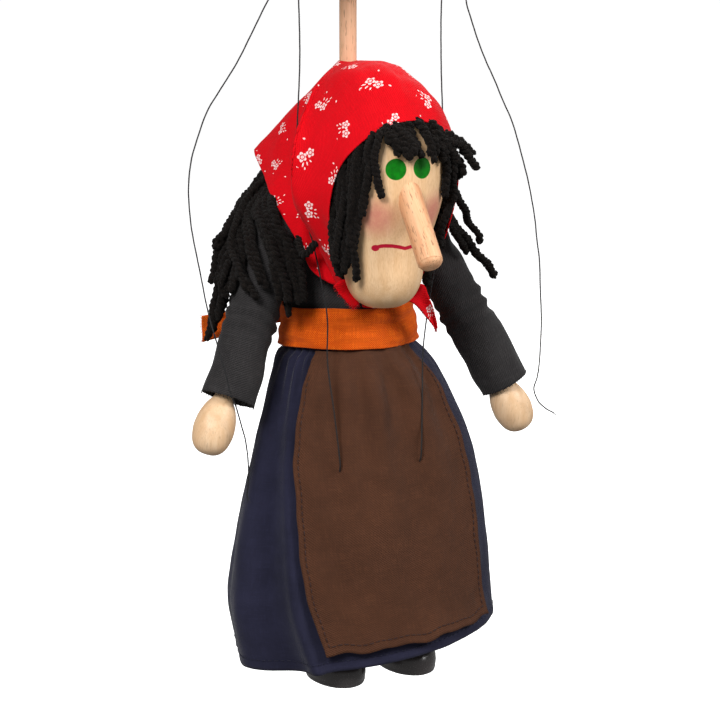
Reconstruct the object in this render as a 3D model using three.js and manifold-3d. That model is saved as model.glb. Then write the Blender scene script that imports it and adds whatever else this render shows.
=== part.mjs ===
// A wooden witch marionette hanging from its control by a rod and four strings.
// Millimetres, +Z up, the puppet faces -Y. The origin is the middle of the control's flat top.
// Every place below is written as (x, forward, height): x to the puppet's left, forward out of
// its face, height above the soles. place() turns that into the part's own frame.
import * as THREE from 'three';
import { mergeVertices } from 'three/addons/utils/BufferGeometryUtils.js';
import Module from 'manifold-3d';

const wasm = await Module();
wasm.setup();

// Driving dimensions
const CONTROL_TOP = 361;
const BEAM_HEIGHT = 9;
const BAR_HEIGHT = 6;
const ROD_RADIUS = 4;
const LIMB_RADIUS = 4.5;
const STRING_DIAMETER = 0.8;
const KNOT_RADIUS = 1.2;
const GAP = 0.3;
const CLOTH = 1.2;
const HEAD = { forward: 35, height: 245, radius: 29, tilt: 0.12, roll: 0.055 };
const HIP = { x: 19, forward: 0, height: 150 };
const KNEE = { x: 19, forward: 22, height: 98 };
const ANKLE = { x: 19, forward: 20, height: 15 };
const SHOE_FORWARD = 23;
const SHOULDER_TURN = THREE.MathUtils.degToRad(15);
const SIDES = {
  right: { sign: -1, shoulder: [-38, 1, 212.5], hand: [-77, 18, 128.6] },
  left: { sign: 1, shoulder: [38, 1, 207.5], hand: [79.2, 18, 122] },
};
const HAND_TO_WRIST = 19;
const HAND_TO_CUFF = 12;
const CUFF_DRIFT = 3;

const model = new THREE.Group();

function place(x, forward, height) {
  return new THREE.Vector3(x, -forward, height - CONTROL_TOP);
}

function add(name, geometry, colour, roughness = 0.8) {
  const material = new THREE.MeshStandardMaterial({ color: colour, roughness, metalness: 0 });
  const mesh = new THREE.Mesh(geometry, material);
  mesh.name = name;
  model.add(mesh);
  return mesh;
}

// ---- closed meshes from rings of points -------------------------------------------------

function signedVolume(points, triangles) {
  let volume = 0;
  for (const [a, b, c] of triangles) {
    volume += points[a].dot(new THREE.Vector3().crossVectors(points[b], points[c])) / 6;
  }
  return volume;
}

function closedGeometry(points, triangles) {
  const outward = signedVolume(points, triangles) > 0;
  const index = triangles.flatMap(([a, b, c]) => (outward ? [a, b, c] : [a, c, b]));
  const numbers = points.flatMap((p) => p.toArray());
  const geometry = new THREE.BufferGeometry();
  geometry.setAttribute('position', new THREE.Float32BufferAttribute(numbers, 3));
  geometry.setIndex(index);
  geometry.computeVertexNormals();
  return geometry;
}

function stitch(rows, wrapAcross, wrapDown, triangles) {
  const last = rows.length - (wrapDown ? 0 : 1);
  for (let i = 0; i < last; i += 1) {
    const here = rows[i];
    const next = rows[(i + 1) % rows.length];
    const steps = here.length - (wrapAcross ? 0 : 1);
    for (let j = 0; j < steps; j += 1) {
      const k = (j + 1) % here.length;
      triangles.push([here[j], next[j], next[k]], [here[j], next[k], here[k]]);
    }
  }
}

function indexRows(rings, points) {
  return rings.map((ring) => ring.map((point) => points.push(point) - 1));
}

// A solid through rings of points, closed at both ends by a fan.
function solidLoft(rings) {
  const points = [];
  const triangles = [];
  const rows = indexRows(rings, points);
  stitch(rows, true, false, triangles);
  for (const [row, flip] of [[rows[0], false], [rows.at(-1), true]]) {
    const middle = new THREE.Vector3();
    row.forEach((i) => middle.addScaledVector(points[i], 1 / row.length));
    const centre = points.push(middle) - 1;
    row.forEach((i, n) => {
      const j = row[(n + 1) % row.length];
      triangles.push(flip ? [centre, j, i] : [centre, i, j]);
    });
  }
  return closedGeometry(points, triangles);
}

function gridNormals(rings, wrapAcross) {
  const at = (i, j) => rings[Math.min(Math.max(i, 0), rings.length - 1)].at(j);
  return rings.map((ring, i) => ring.map((_, j) => {
    const count = ring.length;
    const before = wrapAcross ? (j - 1 + count) % count : Math.max(j - 1, 0);
    const after = wrapAcross ? (j + 1) % count : Math.min(j + 1, count - 1);
    const across = at(i, after).clone().sub(at(i, before));
    const down = at(i + 1, j).clone().sub(at(i - 1, j));
    return new THREE.Vector3().crossVectors(across, down).normalize();
  }));
}

// A sheet of cloth with a thickness: the grid is one face, the other lies on its inner side.
function sheetShell(rings, thickness, wrapAcross, inward) {
  const normals = gridNormals(rings, wrapAcross);
  const side = inward ? 1 : -1;
  const other = rings.map((ring, i) => ring.map((p, j) => (
    p.clone().addScaledVector(normals[i][j], side * thickness))));
  const points = [];
  const triangles = [];
  const outer = indexRows(rings, points);
  const inner = indexRows(other, points);
  if (wrapAcross) {
    stitch([...outer, ...inner.reverse()], true, true, triangles);
  } else {
    const loops = outer.map((row, i) => [...row, ...[...inner[i]].reverse()]);
    stitch(loops, true, false, triangles);
    for (const [loop, flip] of [[loops[0], false], [loops.at(-1), true]]) {
      const half = loop.length / 2;
      for (let j = 0; j < half - 1; j += 1) {
        const [a, b, c, d] = [loop[j], loop[j + 1], loop[2 * half - 2 - j], loop[2 * half - 1 - j]];
        triangles.push(...(flip ? [[a, c, b], [a, d, c]] : [[a, b, c], [a, c, d]]));
      }
    }
  }
  return closedGeometry(points, triangles);
}

// A level oval ring with its own depth in front of and behind its middle. A power of 1 is an
// ellipse, and a smaller one is squarer.
function ovalRing(height, halfWidth, front, back, count, middle = [0, 0], power = 1) {
  const squared = (value) => Math.sign(value) * Math.abs(value) ** power;
  return Array.from({ length: count }, (_, i) => {
    const angle = (2 * Math.PI * i) / count;
    const depth = Math.sin(angle) > 0 ? front : back;
    const x = middle[0] + halfWidth * squared(Math.cos(angle));
    const forward = middle[1] + depth * squared(Math.sin(angle));
    return place(x, forward, height);
  });
}

// ---- booleans --------------------------------------------------------------------------------

function toSolid(geometry, matrix = new THREE.Matrix4()) {
  const bare = geometry.clone().applyMatrix4(matrix);
  bare.deleteAttribute('normal');
  bare.deleteAttribute('uv');
  const merged = mergeVertices(bare, 1e-4);
  return new wasm.Manifold(new wasm.Mesh({
    numProp: 3,
    vertProperties: new Float32Array(merged.attributes.position.array),
    triVerts: new Uint32Array(merged.index.array),
  }));
}

function toGeometry(solid) {
  const { vertProperties, triVerts } = solid.getMesh();
  const geometry = new THREE.BufferGeometry();
  geometry.setAttribute('position', new THREE.BufferAttribute(vertProperties, 3));
  geometry.setIndex(new THREE.BufferAttribute(triVerts, 1));
  geometry.computeVertexNormals();
  return geometry;
}

// A round bar from one point to another, used both as a piece and as a drill.
function rodBetween(from, to, radius, sides = 16, endRadius = radius) {
  const along = to.clone().sub(from);
  const bar = new THREE.CylinderGeometry(endRadius, radius, along.length(), sides);
  const middle = from.clone().add(to).multiplyScalar(0.5);
  along.normalize();
  const turn = new THREE.Quaternion().setFromUnitVectors(new THREE.Vector3(0, 1, 0), along);
  return bar.applyMatrix4(new THREE.Matrix4().compose(middle, turn, new THREE.Vector3(1, 1, 1)));
}

function drill(geometry, ...tools) {
  let solid = toSolid(geometry);
  for (const tool of tools) solid = solid.subtract(toSolid(tool));
  return toGeometry(solid);
}

// A turned piece: profile of [radius, distance] along the line from `from` towards `to`.
function turned(profile, from, to, sides = 24) {
  const lathe = new THREE.LatheGeometry(profile.map(([r, d]) => new THREE.Vector2(r, d)), sides);
  const along = to.clone().sub(from).normalize();
  const turn = new THREE.Quaternion().setFromUnitVectors(new THREE.Vector3(0, 1, 0), along);
  return lathe.applyMatrix4(new THREE.Matrix4().compose(from, turn, new THREE.Vector3(1, 1, 1)));
}

function block(middle, width, depth, height) {
  return new THREE.BoxGeometry(width, depth, height).translate(...middle.toArray());
}

// ---- the control -------------------------------------------------------------------------------

const WOOD = 0xdfc09a;
const BEAM_BOTTOM = CONTROL_TOP - BEAM_HEIGHT;
const BAR_TOP = BEAM_BOTTOM - GAP;
const BAR_BOTTOM = BAR_TOP - BAR_HEIGHT;
const ROD_SOCKET = 5;
const BARS = [
  { name: 'knee_bar', forward: 25, length: 90 },
  { name: 'hand_bar', forward: 38, length: 104 },
];
const SCREW = { head: 3, headHeight: 1.2, shank: 1.2, length: 12 };

function buildControl() {
  const beam = block(place(0, 1, CONTROL_TOP - BEAM_HEIGHT / 2), 18, 100, BEAM_HEIGHT);
  const rodTop = BEAM_BOTTOM + ROD_SOCKET;
  const socketTop = place(0, 0, rodTop + GAP);
  const socket = rodBetween(place(0, 0, BEAM_BOTTOM - 5), socketTop, ROD_RADIUS + GAP, 20);
  const screwHoles = BARS.flatMap(({ forward }) => {
    const low = place(0, forward, BAR_BOTTOM - 2);
    const recess = place(0, forward, CONTROL_TOP - SCREW.headHeight - GAP);
    const high = place(0, forward, CONTROL_TOP + 2);
    return [rodBetween(low, high, SCREW.shank + GAP, 10), rodBetween(recess, high, SCREW.head + GAP, 16)];
  });
  add('control_beam', drill(beam, socket, ...screwHoles), WOOD);
  for (const { name, forward, length } of BARS) {
    const bar = block(place(0, forward, BAR_TOP - BAR_HEIGHT / 2), length, 9, BAR_HEIGHT);
    const low = place(0, forward, BAR_BOTTOM - 2);
    const high = place(0, forward, BAR_TOP + 2);
    add(name, drill(bar, rodBetween(low, high, SCREW.shank + GAP, 10)), WOOD);
    const profile = [[0, 0], [SCREW.shank, 0], [SCREW.shank, SCREW.length], [SCREW.head, SCREW.length],
      [SCREW.head, SCREW.length + SCREW.headHeight], [0, SCREW.length + SCREW.headHeight]];
    const foot = place(0, forward, CONTROL_TOP - SCREW.length - SCREW.headHeight);
    add(`${name}_screw`, turned(profile, foot, place(0, forward, CONTROL_TOP), 12), 0xc9a45c, 0.4);
  }
  add('main_rod', rodBetween(place(0, 0, 168), place(0, 0, rodTop), ROD_RADIUS, 20), WOOD);
}

// ---- the wooden body ---------------------------------------------------------------------------

const TORSO = { bottom: 157.5, top: 218 };
const NECK = { from: [0, 6, 207.5], to: [0, 30, 213.9] };
const PIN_RADIUS = 1.2;
const SHOULDER_PIN = { inner: 21, outer: 7 };
const FACE_WOOD = 0xe9c39a;
const STEEL = 0xb9bcc0;

function shoulderAxis(sign) {
  return new THREE.Vector3(sign * Math.cos(SHOULDER_TURN), Math.sin(SHOULDER_TURN), 0);
}

function buildTorso() {
  const levels = [[TORSO.bottom, 22, 11], [172, 23, 12], [200, 22.5, 11.5], [211, 21.5, 9.8],
    [TORSO.top, 15, 6.8]];
  const rings = levels.map(([height, width, depth]) => (
    ovalRing(height, width, depth, depth, 20, [0, 0], 0.7)));
  const hipBlock = toSolid(block(place(0, 0, 152), 24, 15, 20));
  const body = toGeometry(toSolid(solidLoft(rings)).add(hipBlock));
  const tools = [
    rodBetween(place(0, 0, 168 - GAP), place(0, 0, 230), ROD_RADIUS + GAP, 20),
    rodBetween(place(-30, 0, HIP.height), place(30, 0, HIP.height), PIN_RADIUS + GAP, 12),
    rodBetween(place(...NECK.from).lerp(place(...NECK.to), -0.02), place(...NECK.to), LIMB_RADIUS + GAP, 16),
  ];
  for (const side of Object.values(SIDES)) {
    const pivot = place(...side.shoulder);
    const inner = pivot.clone().addScaledVector(shoulderAxis(side.sign), -SHOULDER_PIN.inner - GAP);
    tools.push(rodBetween(inner, pivot, PIN_RADIUS + GAP, 12));
  }
  add('torso', drill(body, ...tools), WOOD);
  const hipPin = rodBetween(place(-26, 0, HIP.height), place(26, 0, HIP.height), PIN_RADIUS, 12);
  add('hip_pin', hipPin, STEEL, 0.35);
}

// The head is turned on an axis that leans back, and a little to the puppet's left, at the top.
const HEAD_AXIS = new THREE.Vector3(HEAD.roll, Math.sin(HEAD.tilt), Math.cos(HEAD.tilt)).normalize();
const HEAD_MIDDLE = place(0, HEAD.forward, HEAD.height);
const HEAD_BELOW = 65;
const HEAD_ABOVE = 41.5;
const NOSE = { start: [-0.5, 57, 240], end: [-2.2, 86, 205.5], radius: 5.7 };

function headPoint(along) {
  return HEAD_MIDDLE.clone().addScaledVector(HEAD_AXIS, along);
}

function buildHead() {
  const profile = [[0, 0], [7.2, 0.9], [13.3, 4.8], [17.2, 12], [18.9, 22.2], [20.8, 30.4], [24, 39.5],
    [27.2, 50.5], [HEAD.radius, 64.5], [28.2, 75.5], [25, 86.5], [19.5, 95.5], [11, 103.3],
    [0, HEAD_BELOW + HEAD_ABOVE]];
  const skull = turned(profile, headPoint(-HEAD_BELOW), headPoint(0), 28);
  const noseStart = place(...NOSE.start);
  const noseEnd = place(...NOSE.end);
  const length = noseEnd.distanceTo(noseStart);
  const noseHole = rodBetween(noseStart.clone().lerp(noseEnd, -0.04), noseEnd, NOSE.radius + GAP, 20);
  const neckFrom = place(...NECK.from);
  const neckTo = place(...NECK.to);
  const neckHole = rodBetween(neckFrom, neckTo.clone().lerp(neckFrom, -0.02), LIMB_RADIUS + GAP, 16);
  add('head', drill(skull, noseHole, neckHole), FACE_WOOD, 0.5);
  add('neck_peg', rodBetween(neckFrom, neckTo, LIMB_RADIUS, 16), WOOD);
  const nose = [[0, 0], [NOSE.radius, 0], [NOSE.radius, length - 3.4], [5, length - 1.4],
    [3, length - 0.3], [0, length]];
  add('nose', turned(nose, noseStart, noseEnd, 20), 0xe0a97c, 0.6);
}

// ---- the limbs -----------------------------------------------------------------------------------

const SLOT = 4.4;
const TONGUE = 3.4;

// The bore for a joint's pin, reaching the same way to both sides of its middle.
function crossBore(middle, axis, reach) {
  const from = middle.clone().addScaledVector(axis, -reach);
  return rodBetween(from, middle.clone().addScaledVector(axis, reach), PIN_RADIUS + GAP, 12);
}

function buildArm(name, side) {
  const pivot = place(...side.shoulder);
  const hand = place(...side.hand);
  const down = hand.clone().sub(pivot).normalize();
  const wrist = hand.clone().addScaledVector(down, -HAND_TO_WRIST);
  const axis = shoulderAxis(side.sign);
  const pinHole = crossBore(pivot, axis, 10);
  const slot = new THREE.BoxGeometry(SLOT, 20, 20).translate(wrist.x, wrist.y, wrist.z - 4.5);
  const wristPin = [new THREE.Vector3(-5, 0, 0), new THREE.Vector3(5, 0, 0)].map((v) => v.add(wrist));
  const wristHole = rodBetween(...wristPin, 0.8 + GAP, 10);
  const armEnd = wrist.clone().addScaledVector(down, 4);
  const armTop = pivot.clone().addScaledVector(down, -5);
  add(`arm_${name}`, drill(rodBetween(armTop, armEnd, LIMB_RADIUS), pinHole, slot, wristHole), WOOD);
  const pinFrom = pivot.clone().addScaledVector(axis, -SHOULDER_PIN.inner);
  const pinTo = pivot.clone().addScaledVector(axis, SHOULDER_PIN.outer);
  add(`shoulder_pin_${name}`, rodBetween(pinFrom, pinTo, PIN_RADIUS, 12), STEEL, 0.35);
  const shortPin = wristPin.map((v) => v.lerp(wrist, 0.1));
  add(`wrist_pin_${name}`, rodBetween(...shortPin, 0.8, 10), STEEL, 0.35);

  // The hand is a turned egg whose neck ends in a flat tongue on the wrist pin.
  const eggShape = [[0, 0], [5.2, 1.2], [8.3, 5], [9.4, 11], [9, 17], [7.1, 22.5], [4.4, 26.5],
    [3.6, 29.5], [3.2, 36], [0, 36]];
  const egg = turned(eggShape, hand.clone().addScaledVector(down, 14), hand, 18);
  const cheeks = [-1, 1].map((s) => new THREE.BoxGeometry(10, 30, 12)
    .translate(wrist.x + s * (TONGUE / 2 + 5), wrist.y, wrist.z - 0.8));
  add(`hand_${name}`, drill(egg, ...cheeks, wristHole), FACE_WOOD, 0.5);
}

function buildLeg(name, side) {
  const hip = place(side.sign * HIP.x, HIP.forward, HIP.height);
  const knee = place(side.sign * KNEE.x, KNEE.forward, KNEE.height);
  const ankle = place(side.sign * ANKLE.x, ANKLE.forward, ANKLE.height);
  const thighDown = knee.clone().sub(hip).normalize();
  const across = new THREE.Vector3(1, 0, 0);
  const hipHole = crossBore(hip, across, 8);
  const kneeHole = crossBore(knee, across, 8);
  const slot = new THREE.BoxGeometry(SLOT, 26, 24).translate(knee.x, knee.y, knee.z - 4.5);
  const thighTop = hip.clone().addScaledVector(thighDown, -4);
  const thigh = rodBetween(thighTop, knee.clone().addScaledVector(thighDown, 4.5), 5, 16);
  add(`thigh_${name}`, drill(thigh, hipHole, kneeHole, slot), WOOD);
  add(`knee_pin_${name}`, rodBetween(knee.clone().addScaledVector(across, -4.5),
    knee.clone().addScaledVector(across, 4.5), PIN_RADIUS, 12), STEEL, 0.35);
  const shinDown = ankle.clone().sub(knee).normalize();
  const shin = rodBetween(knee.clone().addScaledVector(shinDown, -4), ankle, 5, 16);
  const cheeks = [-1, 1].map((s) => new THREE.BoxGeometry(10, 30, 24)
    .translate(knee.x + s * (TONGUE / 2 + 5), knee.y, knee.z + 0.5));
  add(`shin_${name}`, drill(shin, kneeHole, ...cheeks), WOOD);

  const shoeMiddle = [ankle.x, SHOE_FORWARD];
  const rings = [[0, 12, 18, 17], [1.2, 12.9, 19.2, 18], [5, 13.3, 19.6, 18.2], [9.5, 12.8, 18, 17.4],
    [13.5, 10.9, 14.4, 15.4], [16.8, 7.8, 9.4, 13], [18.8, 4, 4.6, 9]]
    .map(([height, width, front, back]) => ovalRing(height, width, front, back, 18, shoeMiddle));
  const socket = rodBetween(ankle.clone().addScaledVector(shinDown, GAP), knee, 5 + GAP, 20);
  add(`shoe_${name}`, drill(solidLoft(rings), socket), 0x2b2828, 0.35);
}

// ---- the strings -------------------------------------------------------------------------------------

const HAND_STRING_RIGHT = [
  [-43, 38, 342.4], [-47.5, 35.5, 333], [-54.5, 31, 320], [-61, 28, 306], [-67.5, 26, 293],
  [-75, 24, 281], [-80.5, 22, 271.5], [-84.5, 20, 259.5], [-87.2, 19, 249.5], [-88.2, 18, 237],
  [-87.5, 18, 223.5], [-86.4, 18.5, 214.5], [-85.2, 20, 205.5], [-84.3, 22, 197],
  [-83.4, 24, 188], [-82.6, 27, 179.5], [-80.7, 30.5, 168.5], [-78.1, 32.5, 157],
  [-75.6, 33, 146], [-72.8, 32.5, 139.5], [-70.2, 32, 131], [-68, 31.5, 123.5],
  [-66.8, 31.5, 114], [-66.7, 31.5, 105.5], [-67.3, 31, 97.5],
];
const HAND_STRING_LEFT = [
  [43, 38, 342.4], [43.5, 34, 331], [45.4, 30, 318], [49.5, 28, 308.5], [54.2, 26, 299],
  [59.6, 24, 289.5], [65.7, 22, 280], [70.8, 21, 270.5], [76.5, 20, 260.5], [80, 20, 251],
  [83.2, 20, 241], [86.1, 20, 231.5], [88.5, 20, 221.5], [90.4, 20, 212], [91.7, 20, 202],
  [93.3, 20, 192], [94.1, 20, 177.5], [95, 20, 163], [93.5, 22, 152], [90.5, 26, 143],
  [87, 30, 137], [84, 32, 132], [86, 32.5, 126], [90.5, 32, 121.7], [95.8, 31, 118.6],
];
const KNEE_STRING_RIGHT = [
  [-38, 25, 342.4], [-37, 25, 319], [-36.6, 25, 293], [-37, 23, 265], [-36, 19.5, 247],
  [-34, 19, 230], [-28.5, 21.5, 208], [-26, 26, 188], [-25.5, 29.5, 174.5], [-26, 30.5, 155],
  [-25, 35, 133], [-23.8, 38.4, 111], [-23.2, 37.2, 105], [-21.8, 33.6, 102], [-20, 28.4, 100],
];
const KNEE_STRING_LEFT = [
  [38, 25, 342.4], [36.8, 22.5, 318], [37.6, 21, 290], [40, 18.5, 265], [41, 18, 245],
  [40, 20, 225], [36, 23, 205], [29, 27, 180], [26, 29.5, 170], [23.5, 31, 155], [20.5, 36, 133],
  [17.8, 40.5, 111], [17.6, 39, 105], [18, 34.6, 102], [18.6, 28.4, 100],
];

const KNEE_STEPS = 32;

function stringTube(route, steps, radius = STRING_DIAMETER / 2) {
  const section = new THREE.Shape();
  section.absarc(0, 0, radius, 0, 2 * Math.PI);
  const path = new THREE.CatmullRomCurve3(route.map((p) => place(...p)));
  const sweep = { steps, bevelEnabled: false, extrudePath: path, curveSegments: 4 };
  return new THREE.ExtrudeGeometry(section, sweep);
}

// The holes that the two knee strings go through in the cloth.
function kneeStringHoles() {
  const bore = STRING_DIAMETER / 2 + GAP;
  return [KNEE_STRING_RIGHT, KNEE_STRING_LEFT].map((route) => stringTube(route, KNEE_STEPS, bore));
}

// ---- the clothes ---------------------------------------------------------------------------------

const AROUND = 26;
// Skirt levels from the waist to the hem: height, half width, half depth, middle x, middle forward.
const SKIRT = [[164, 31.4, 21.6, 0, 0], [157, 32.2, 22.4, 0, 0], [153.5, 38, 24.2, 0, 0.5],
  [143, 42.5, 25.8, 2, 2.5], [110, 55.5, 30.5, 4, 6], [74, 63.2, 37, 3.3, 7.3], [40, 67.2, 42.2, 2.3, 8],
  [15.5, 65.5, 46, 5, 9.5]];
const HEM_TILT = 0.09;

function skirtPoint(level, angle, outset = 0) {
  const [height, width, depth, x, forward] = level;
  const tilt = height < 20 ? HEM_TILT * width * Math.cos(angle) : 0;
  const across = x + (width + outset) * Math.cos(angle);
  return place(across, forward + (depth + outset) * Math.sin(angle), height + tilt);
}

function buildSkirt() {
  const rings = SKIRT.map((level) => Array.from({ length: AROUND }, (_, i) => (
    skirtPoint(level, (2 * Math.PI * i) / AROUND))));
  add('skirt', drill(sheetShell(rings, CLOTH, true, true), ...kneeStringHoles()), 0x242438, 0.9);
}

function buildApron() {
  const columns = 10;
  const lift = 1 + CLOTH;
  // Angles of the right and left edge at each skirt level, and the bottom edge's slant.
  const edges = [[2, 153, 128, 52], [3, 143, 131, 50], [4, 110, 132, 47], [5, 74, 128.5, 46],
    [6, 40, 123.5, 46], [7, 24, 121, 45]];
  const rings = edges.map(([level, height, right, left]) => Array.from({ length: columns + 1 }, (_, i) => {
    const share = i / columns;
    const angle = THREE.MathUtils.degToRad(left + (right - left) * share);
    const bottom = level === SKIRT.length - 1;
    const shape = [height + (bottom ? 4 * (0.5 - share) : 0), ...SKIRT[level].slice(1)];
    const point = skirtPoint(shape, angle, lift);
    if (bottom) point.z = height - CONTROL_TOP + 4 * (0.5 - share);
    return point;
  }));
  add('apron', drill(sheetShell(rings, CLOTH, false, true), ...kneeStringHoles()), 0x54352a, 0.9);
}

function buildSash() {
  const rings = [[157, 35.2, 25.2], [163, 34.6, 25], [170, 33.6, 24.4], [177, 32.4, 23.8]]
    .map(([height, width, depth]) => ovalRing(height, width, depth, depth, AROUND));
  add('sash', sheetShell(rings, CLOTH, true, false), 0xd9560f, 0.9);
  add('sash_knot', turned([[0, 0], [4, 0.8], [5.4, 5], [4, 9.2], [0, 10]], place(-5, -31.2, 168),
    place(5, -31.2, 168), 12), 0xd9560f, 0.9);
  const strip = (from, to, half) => sheetShell([from, to].map((p) => (
    [place(p[0], p[1], p[2] + half), place(p[0], p[1], p[2] - half)])), CLOTH, false, true);
  add('sash_end_right', strip([-8, -31, 167.5], [-62, -31, 163], 6), 0xd9560f, 0.9);
  add('sash_end_left', strip([8, -31, 167], [40, -34, 150], 6), 0xd9560f, 0.9);
}

function buildBlouse() {
  const rings = [[165.5, 29.4, 20.6, 20.6], [176, 29.6, 21, 21], [181, 31.5, 20.8, 21.5], [190, 30, 17.5, 20],
    [199, 26.5, 16.5, 19.5], [208, 24.6, 14.5, 19], [215, 23, 11.8, 16], [221, 16, 8.6, 12]]
    .map(([height, width, front, back]) => ovalRing(height, width, front, back, AROUND));
  const tools = Object.values(SIDES).map((side) => {
    const pivot = place(...side.shoulder);
    const inner = pivot.clone().addScaledVector(shoulderAxis(side.sign), -20);
    return rodBetween(inner, pivot, PIN_RADIUS + 2 * GAP, 12);
  });
  tools.push(rodBetween(place(...NECK.from), place(...NECK.to), LIMB_RADIUS + 2 * GAP, 16));
  add('blouse', drill(sheetShell(rings, CLOTH, true, false), ...tools), 0x242223, 0.9);
}

function buildSleeve(name, side) {
  const pivot = place(...side.shoulder);
  const hand = place(...side.hand);
  const down = hand.clone().sub(pivot).normalize();
  const length = hand.distanceTo(pivot) - HAND_TO_CUFF;
  const ahead = new THREE.Vector3(0, -1, 0).addScaledVector(down, down.y).normalize();
  const out = new THREE.Vector3().crossVectors(ahead, down).normalize();
  const sections = [[-9.5, 3.5, 3.5], [-8, 7, 7], [-4, 9.6, 9.4], [3, 10.6, 10], [40, 12.2, 10.2],
    [length, 12.8, 11]];
  const around = 16;
  const rings = sections.map(([along, wide, deep]) => Array.from({ length: around }, (_, i) => {
    const angle = (2 * Math.PI * i) / around;
    const drift = new THREE.Vector3(CUFF_DRIFT * Math.max(along / length, 0), 0, 0);
    return pivot.clone().addScaledVector(down, along).addScaledVector(out, wide * Math.cos(angle))
      .addScaledVector(ahead, deep * Math.sin(angle)).add(drift);
  }));
  const opening = rodBetween(pivot.clone().addScaledVector(shoulderAxis(side.sign), -20),
    pivot.clone(), PIN_RADIUS + 3 * GAP, 12);
  const shell = sheetShell(rings, CLOTH, true, name === 'right');
  add(`sleeve_${name}`, drill(shell, opening), 0x242223, 0.9);
}

// The kerchief runs from the hole round the rod, over the head, to its edge. Each line holds the
// four places after the hole, and the lines go round from the forehead by the puppet's right.
const KERCHIEF = [
  [[0, 26, 291.5], [0, 42, 288.5], [0, 55.5, 280], [0, 63.5, 268]],
  [[-9, 25, 290], [-13, 39, 285], [-17, 51, 275], [-18, 59, 262]],
  [[-15, 20, 286], [-24, 33, 274], [-30, 43, 259], [-31, 50, 245]],
  [[-20, 17, 282], [-33, 29, 264], [-37, 37, 243], [-31, 44, 221]],
  [[-23, 15, 279], [-38, 28, 257], [-40, 32, 232], [-26, 38, 202]],
  [[-24, 13, 278], [-40, 27, 255], [-39, 28, 228], [-19, 32, 190]],
  [[-22, 9, 277], [-30, 17, 252], [-26, 20, 222], [-21, 25, 190]],
  [[-19, 4, 276], [-29, 9, 252], [-28, 12, 220], [-26, 18, 191]],
  [[-16, 0, 277], [-26, 1, 254], [-28, 7, 224], [-26.3, 10.5, 198]],
  [[-15, -4, 277], [-25, -5, 258], [-28, -1, 236], [-25.8, 5.5, 216]],
  [[-13, -8, 278], [-24, -13, 260], [-29, -15, 240], [-31, -13, 224]],
  [[-11, -11, 279], [-20, -20, 267], [-27, -28, 256], [-32, -34, 247]],
  [[-7, -13, 279], [-13, -23, 264], [-17, -30, 250], [-18, -34, 238]],
  [[0, -13, 279], [0, -23, 262], [0, -29, 243], [0, -31, 225]],
  [[8, -10, 278], [15, -16, 258], [19, -19, 236], [22, -20, 219]],
  [[14, -5, 277], [25, -4, 256], [28, 0, 235], [25.8, 5.5, 214]],
  [[16, 0, 277], [28, 3, 254], [29, 8, 226], [26.3, 10.5, 199]],
  [[18, 4, 277], [31, 11, 252], [31, 14, 220], [26, 18, 192]],
  [[22, 12, 278], [37, 24, 254], [37, 27, 226], [19, 32, 190]],
  [[22, 15, 280], [37, 29, 258], [39, 32, 234], [26, 38, 202]],
  [[20, 17, 282], [33, 30, 265], [37, 37, 244], [31, 44, 221]],
  [[15, 20, 286], [24, 33, 274], [30, 43, 259], [31, 50, 245]],
  [[9, 25, 290], [13, 39, 285], [17, 51, 275], [18, 59, 262]],
];
const ROD_HOLE = 5;

function buildKerchief() {
  const count = KERCHIEF.length;
  const lines = KERCHIEF.map((line, i) => {
    const angle = (2 * Math.PI * i) / count;
    const hole = place(-ROD_HOLE * Math.sin(angle), ROD_HOLE * Math.cos(angle), 289.5);
    const curve = new THREE.CatmullRomCurve3([hole, ...line.map((p) => place(...p))]);
    return curve.getPoints(9);
  });
  const rings = lines[0].map((_, j) => lines.map((line) => line[j]));
  add('kerchief', sheetShell(rings, 1, true, false), 0xd4121f, 0.85);
  add('kerchief_knot', turned([[0, 0], [3, 0.8], [4, 4.5], [3, 8.2], [0, 9]], place(-4.5, 29, 178.3),
    place(4.5, 29, 178.3), 12), 0xd4121f, 0.85);
  const tail = (sign, tip, wide) => sheetShell([[sign * 6, 29, 178.3], tip].map((p, i) => (
    [place(p[0], p[1], p[2] + (i ? wide : 3)), place(p[0], p[1], p[2] - (i ? wide : 3))])), 1, false, true);
  add('kerchief_tail_right', tail(-1, [-18, 34, 181], 5), 0xd4121f, 0.85);
  add('kerchief_tail_left', tail(1, [29, 31, 174], 6), 0xd4121f, 0.85);
}

// ---- the hair --------------------------------------------------------------------------------------

const FRINGE = { top: 257.5, bottom: 250, thickness: 1.6, spread: 44 };

function lump(sections, count = 16) {
  return solidLoft(sections.map(([x, forward, height, width, depth]) => (
    ovalRing(height, width, depth, depth, count, [x, forward]))));
}

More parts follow.
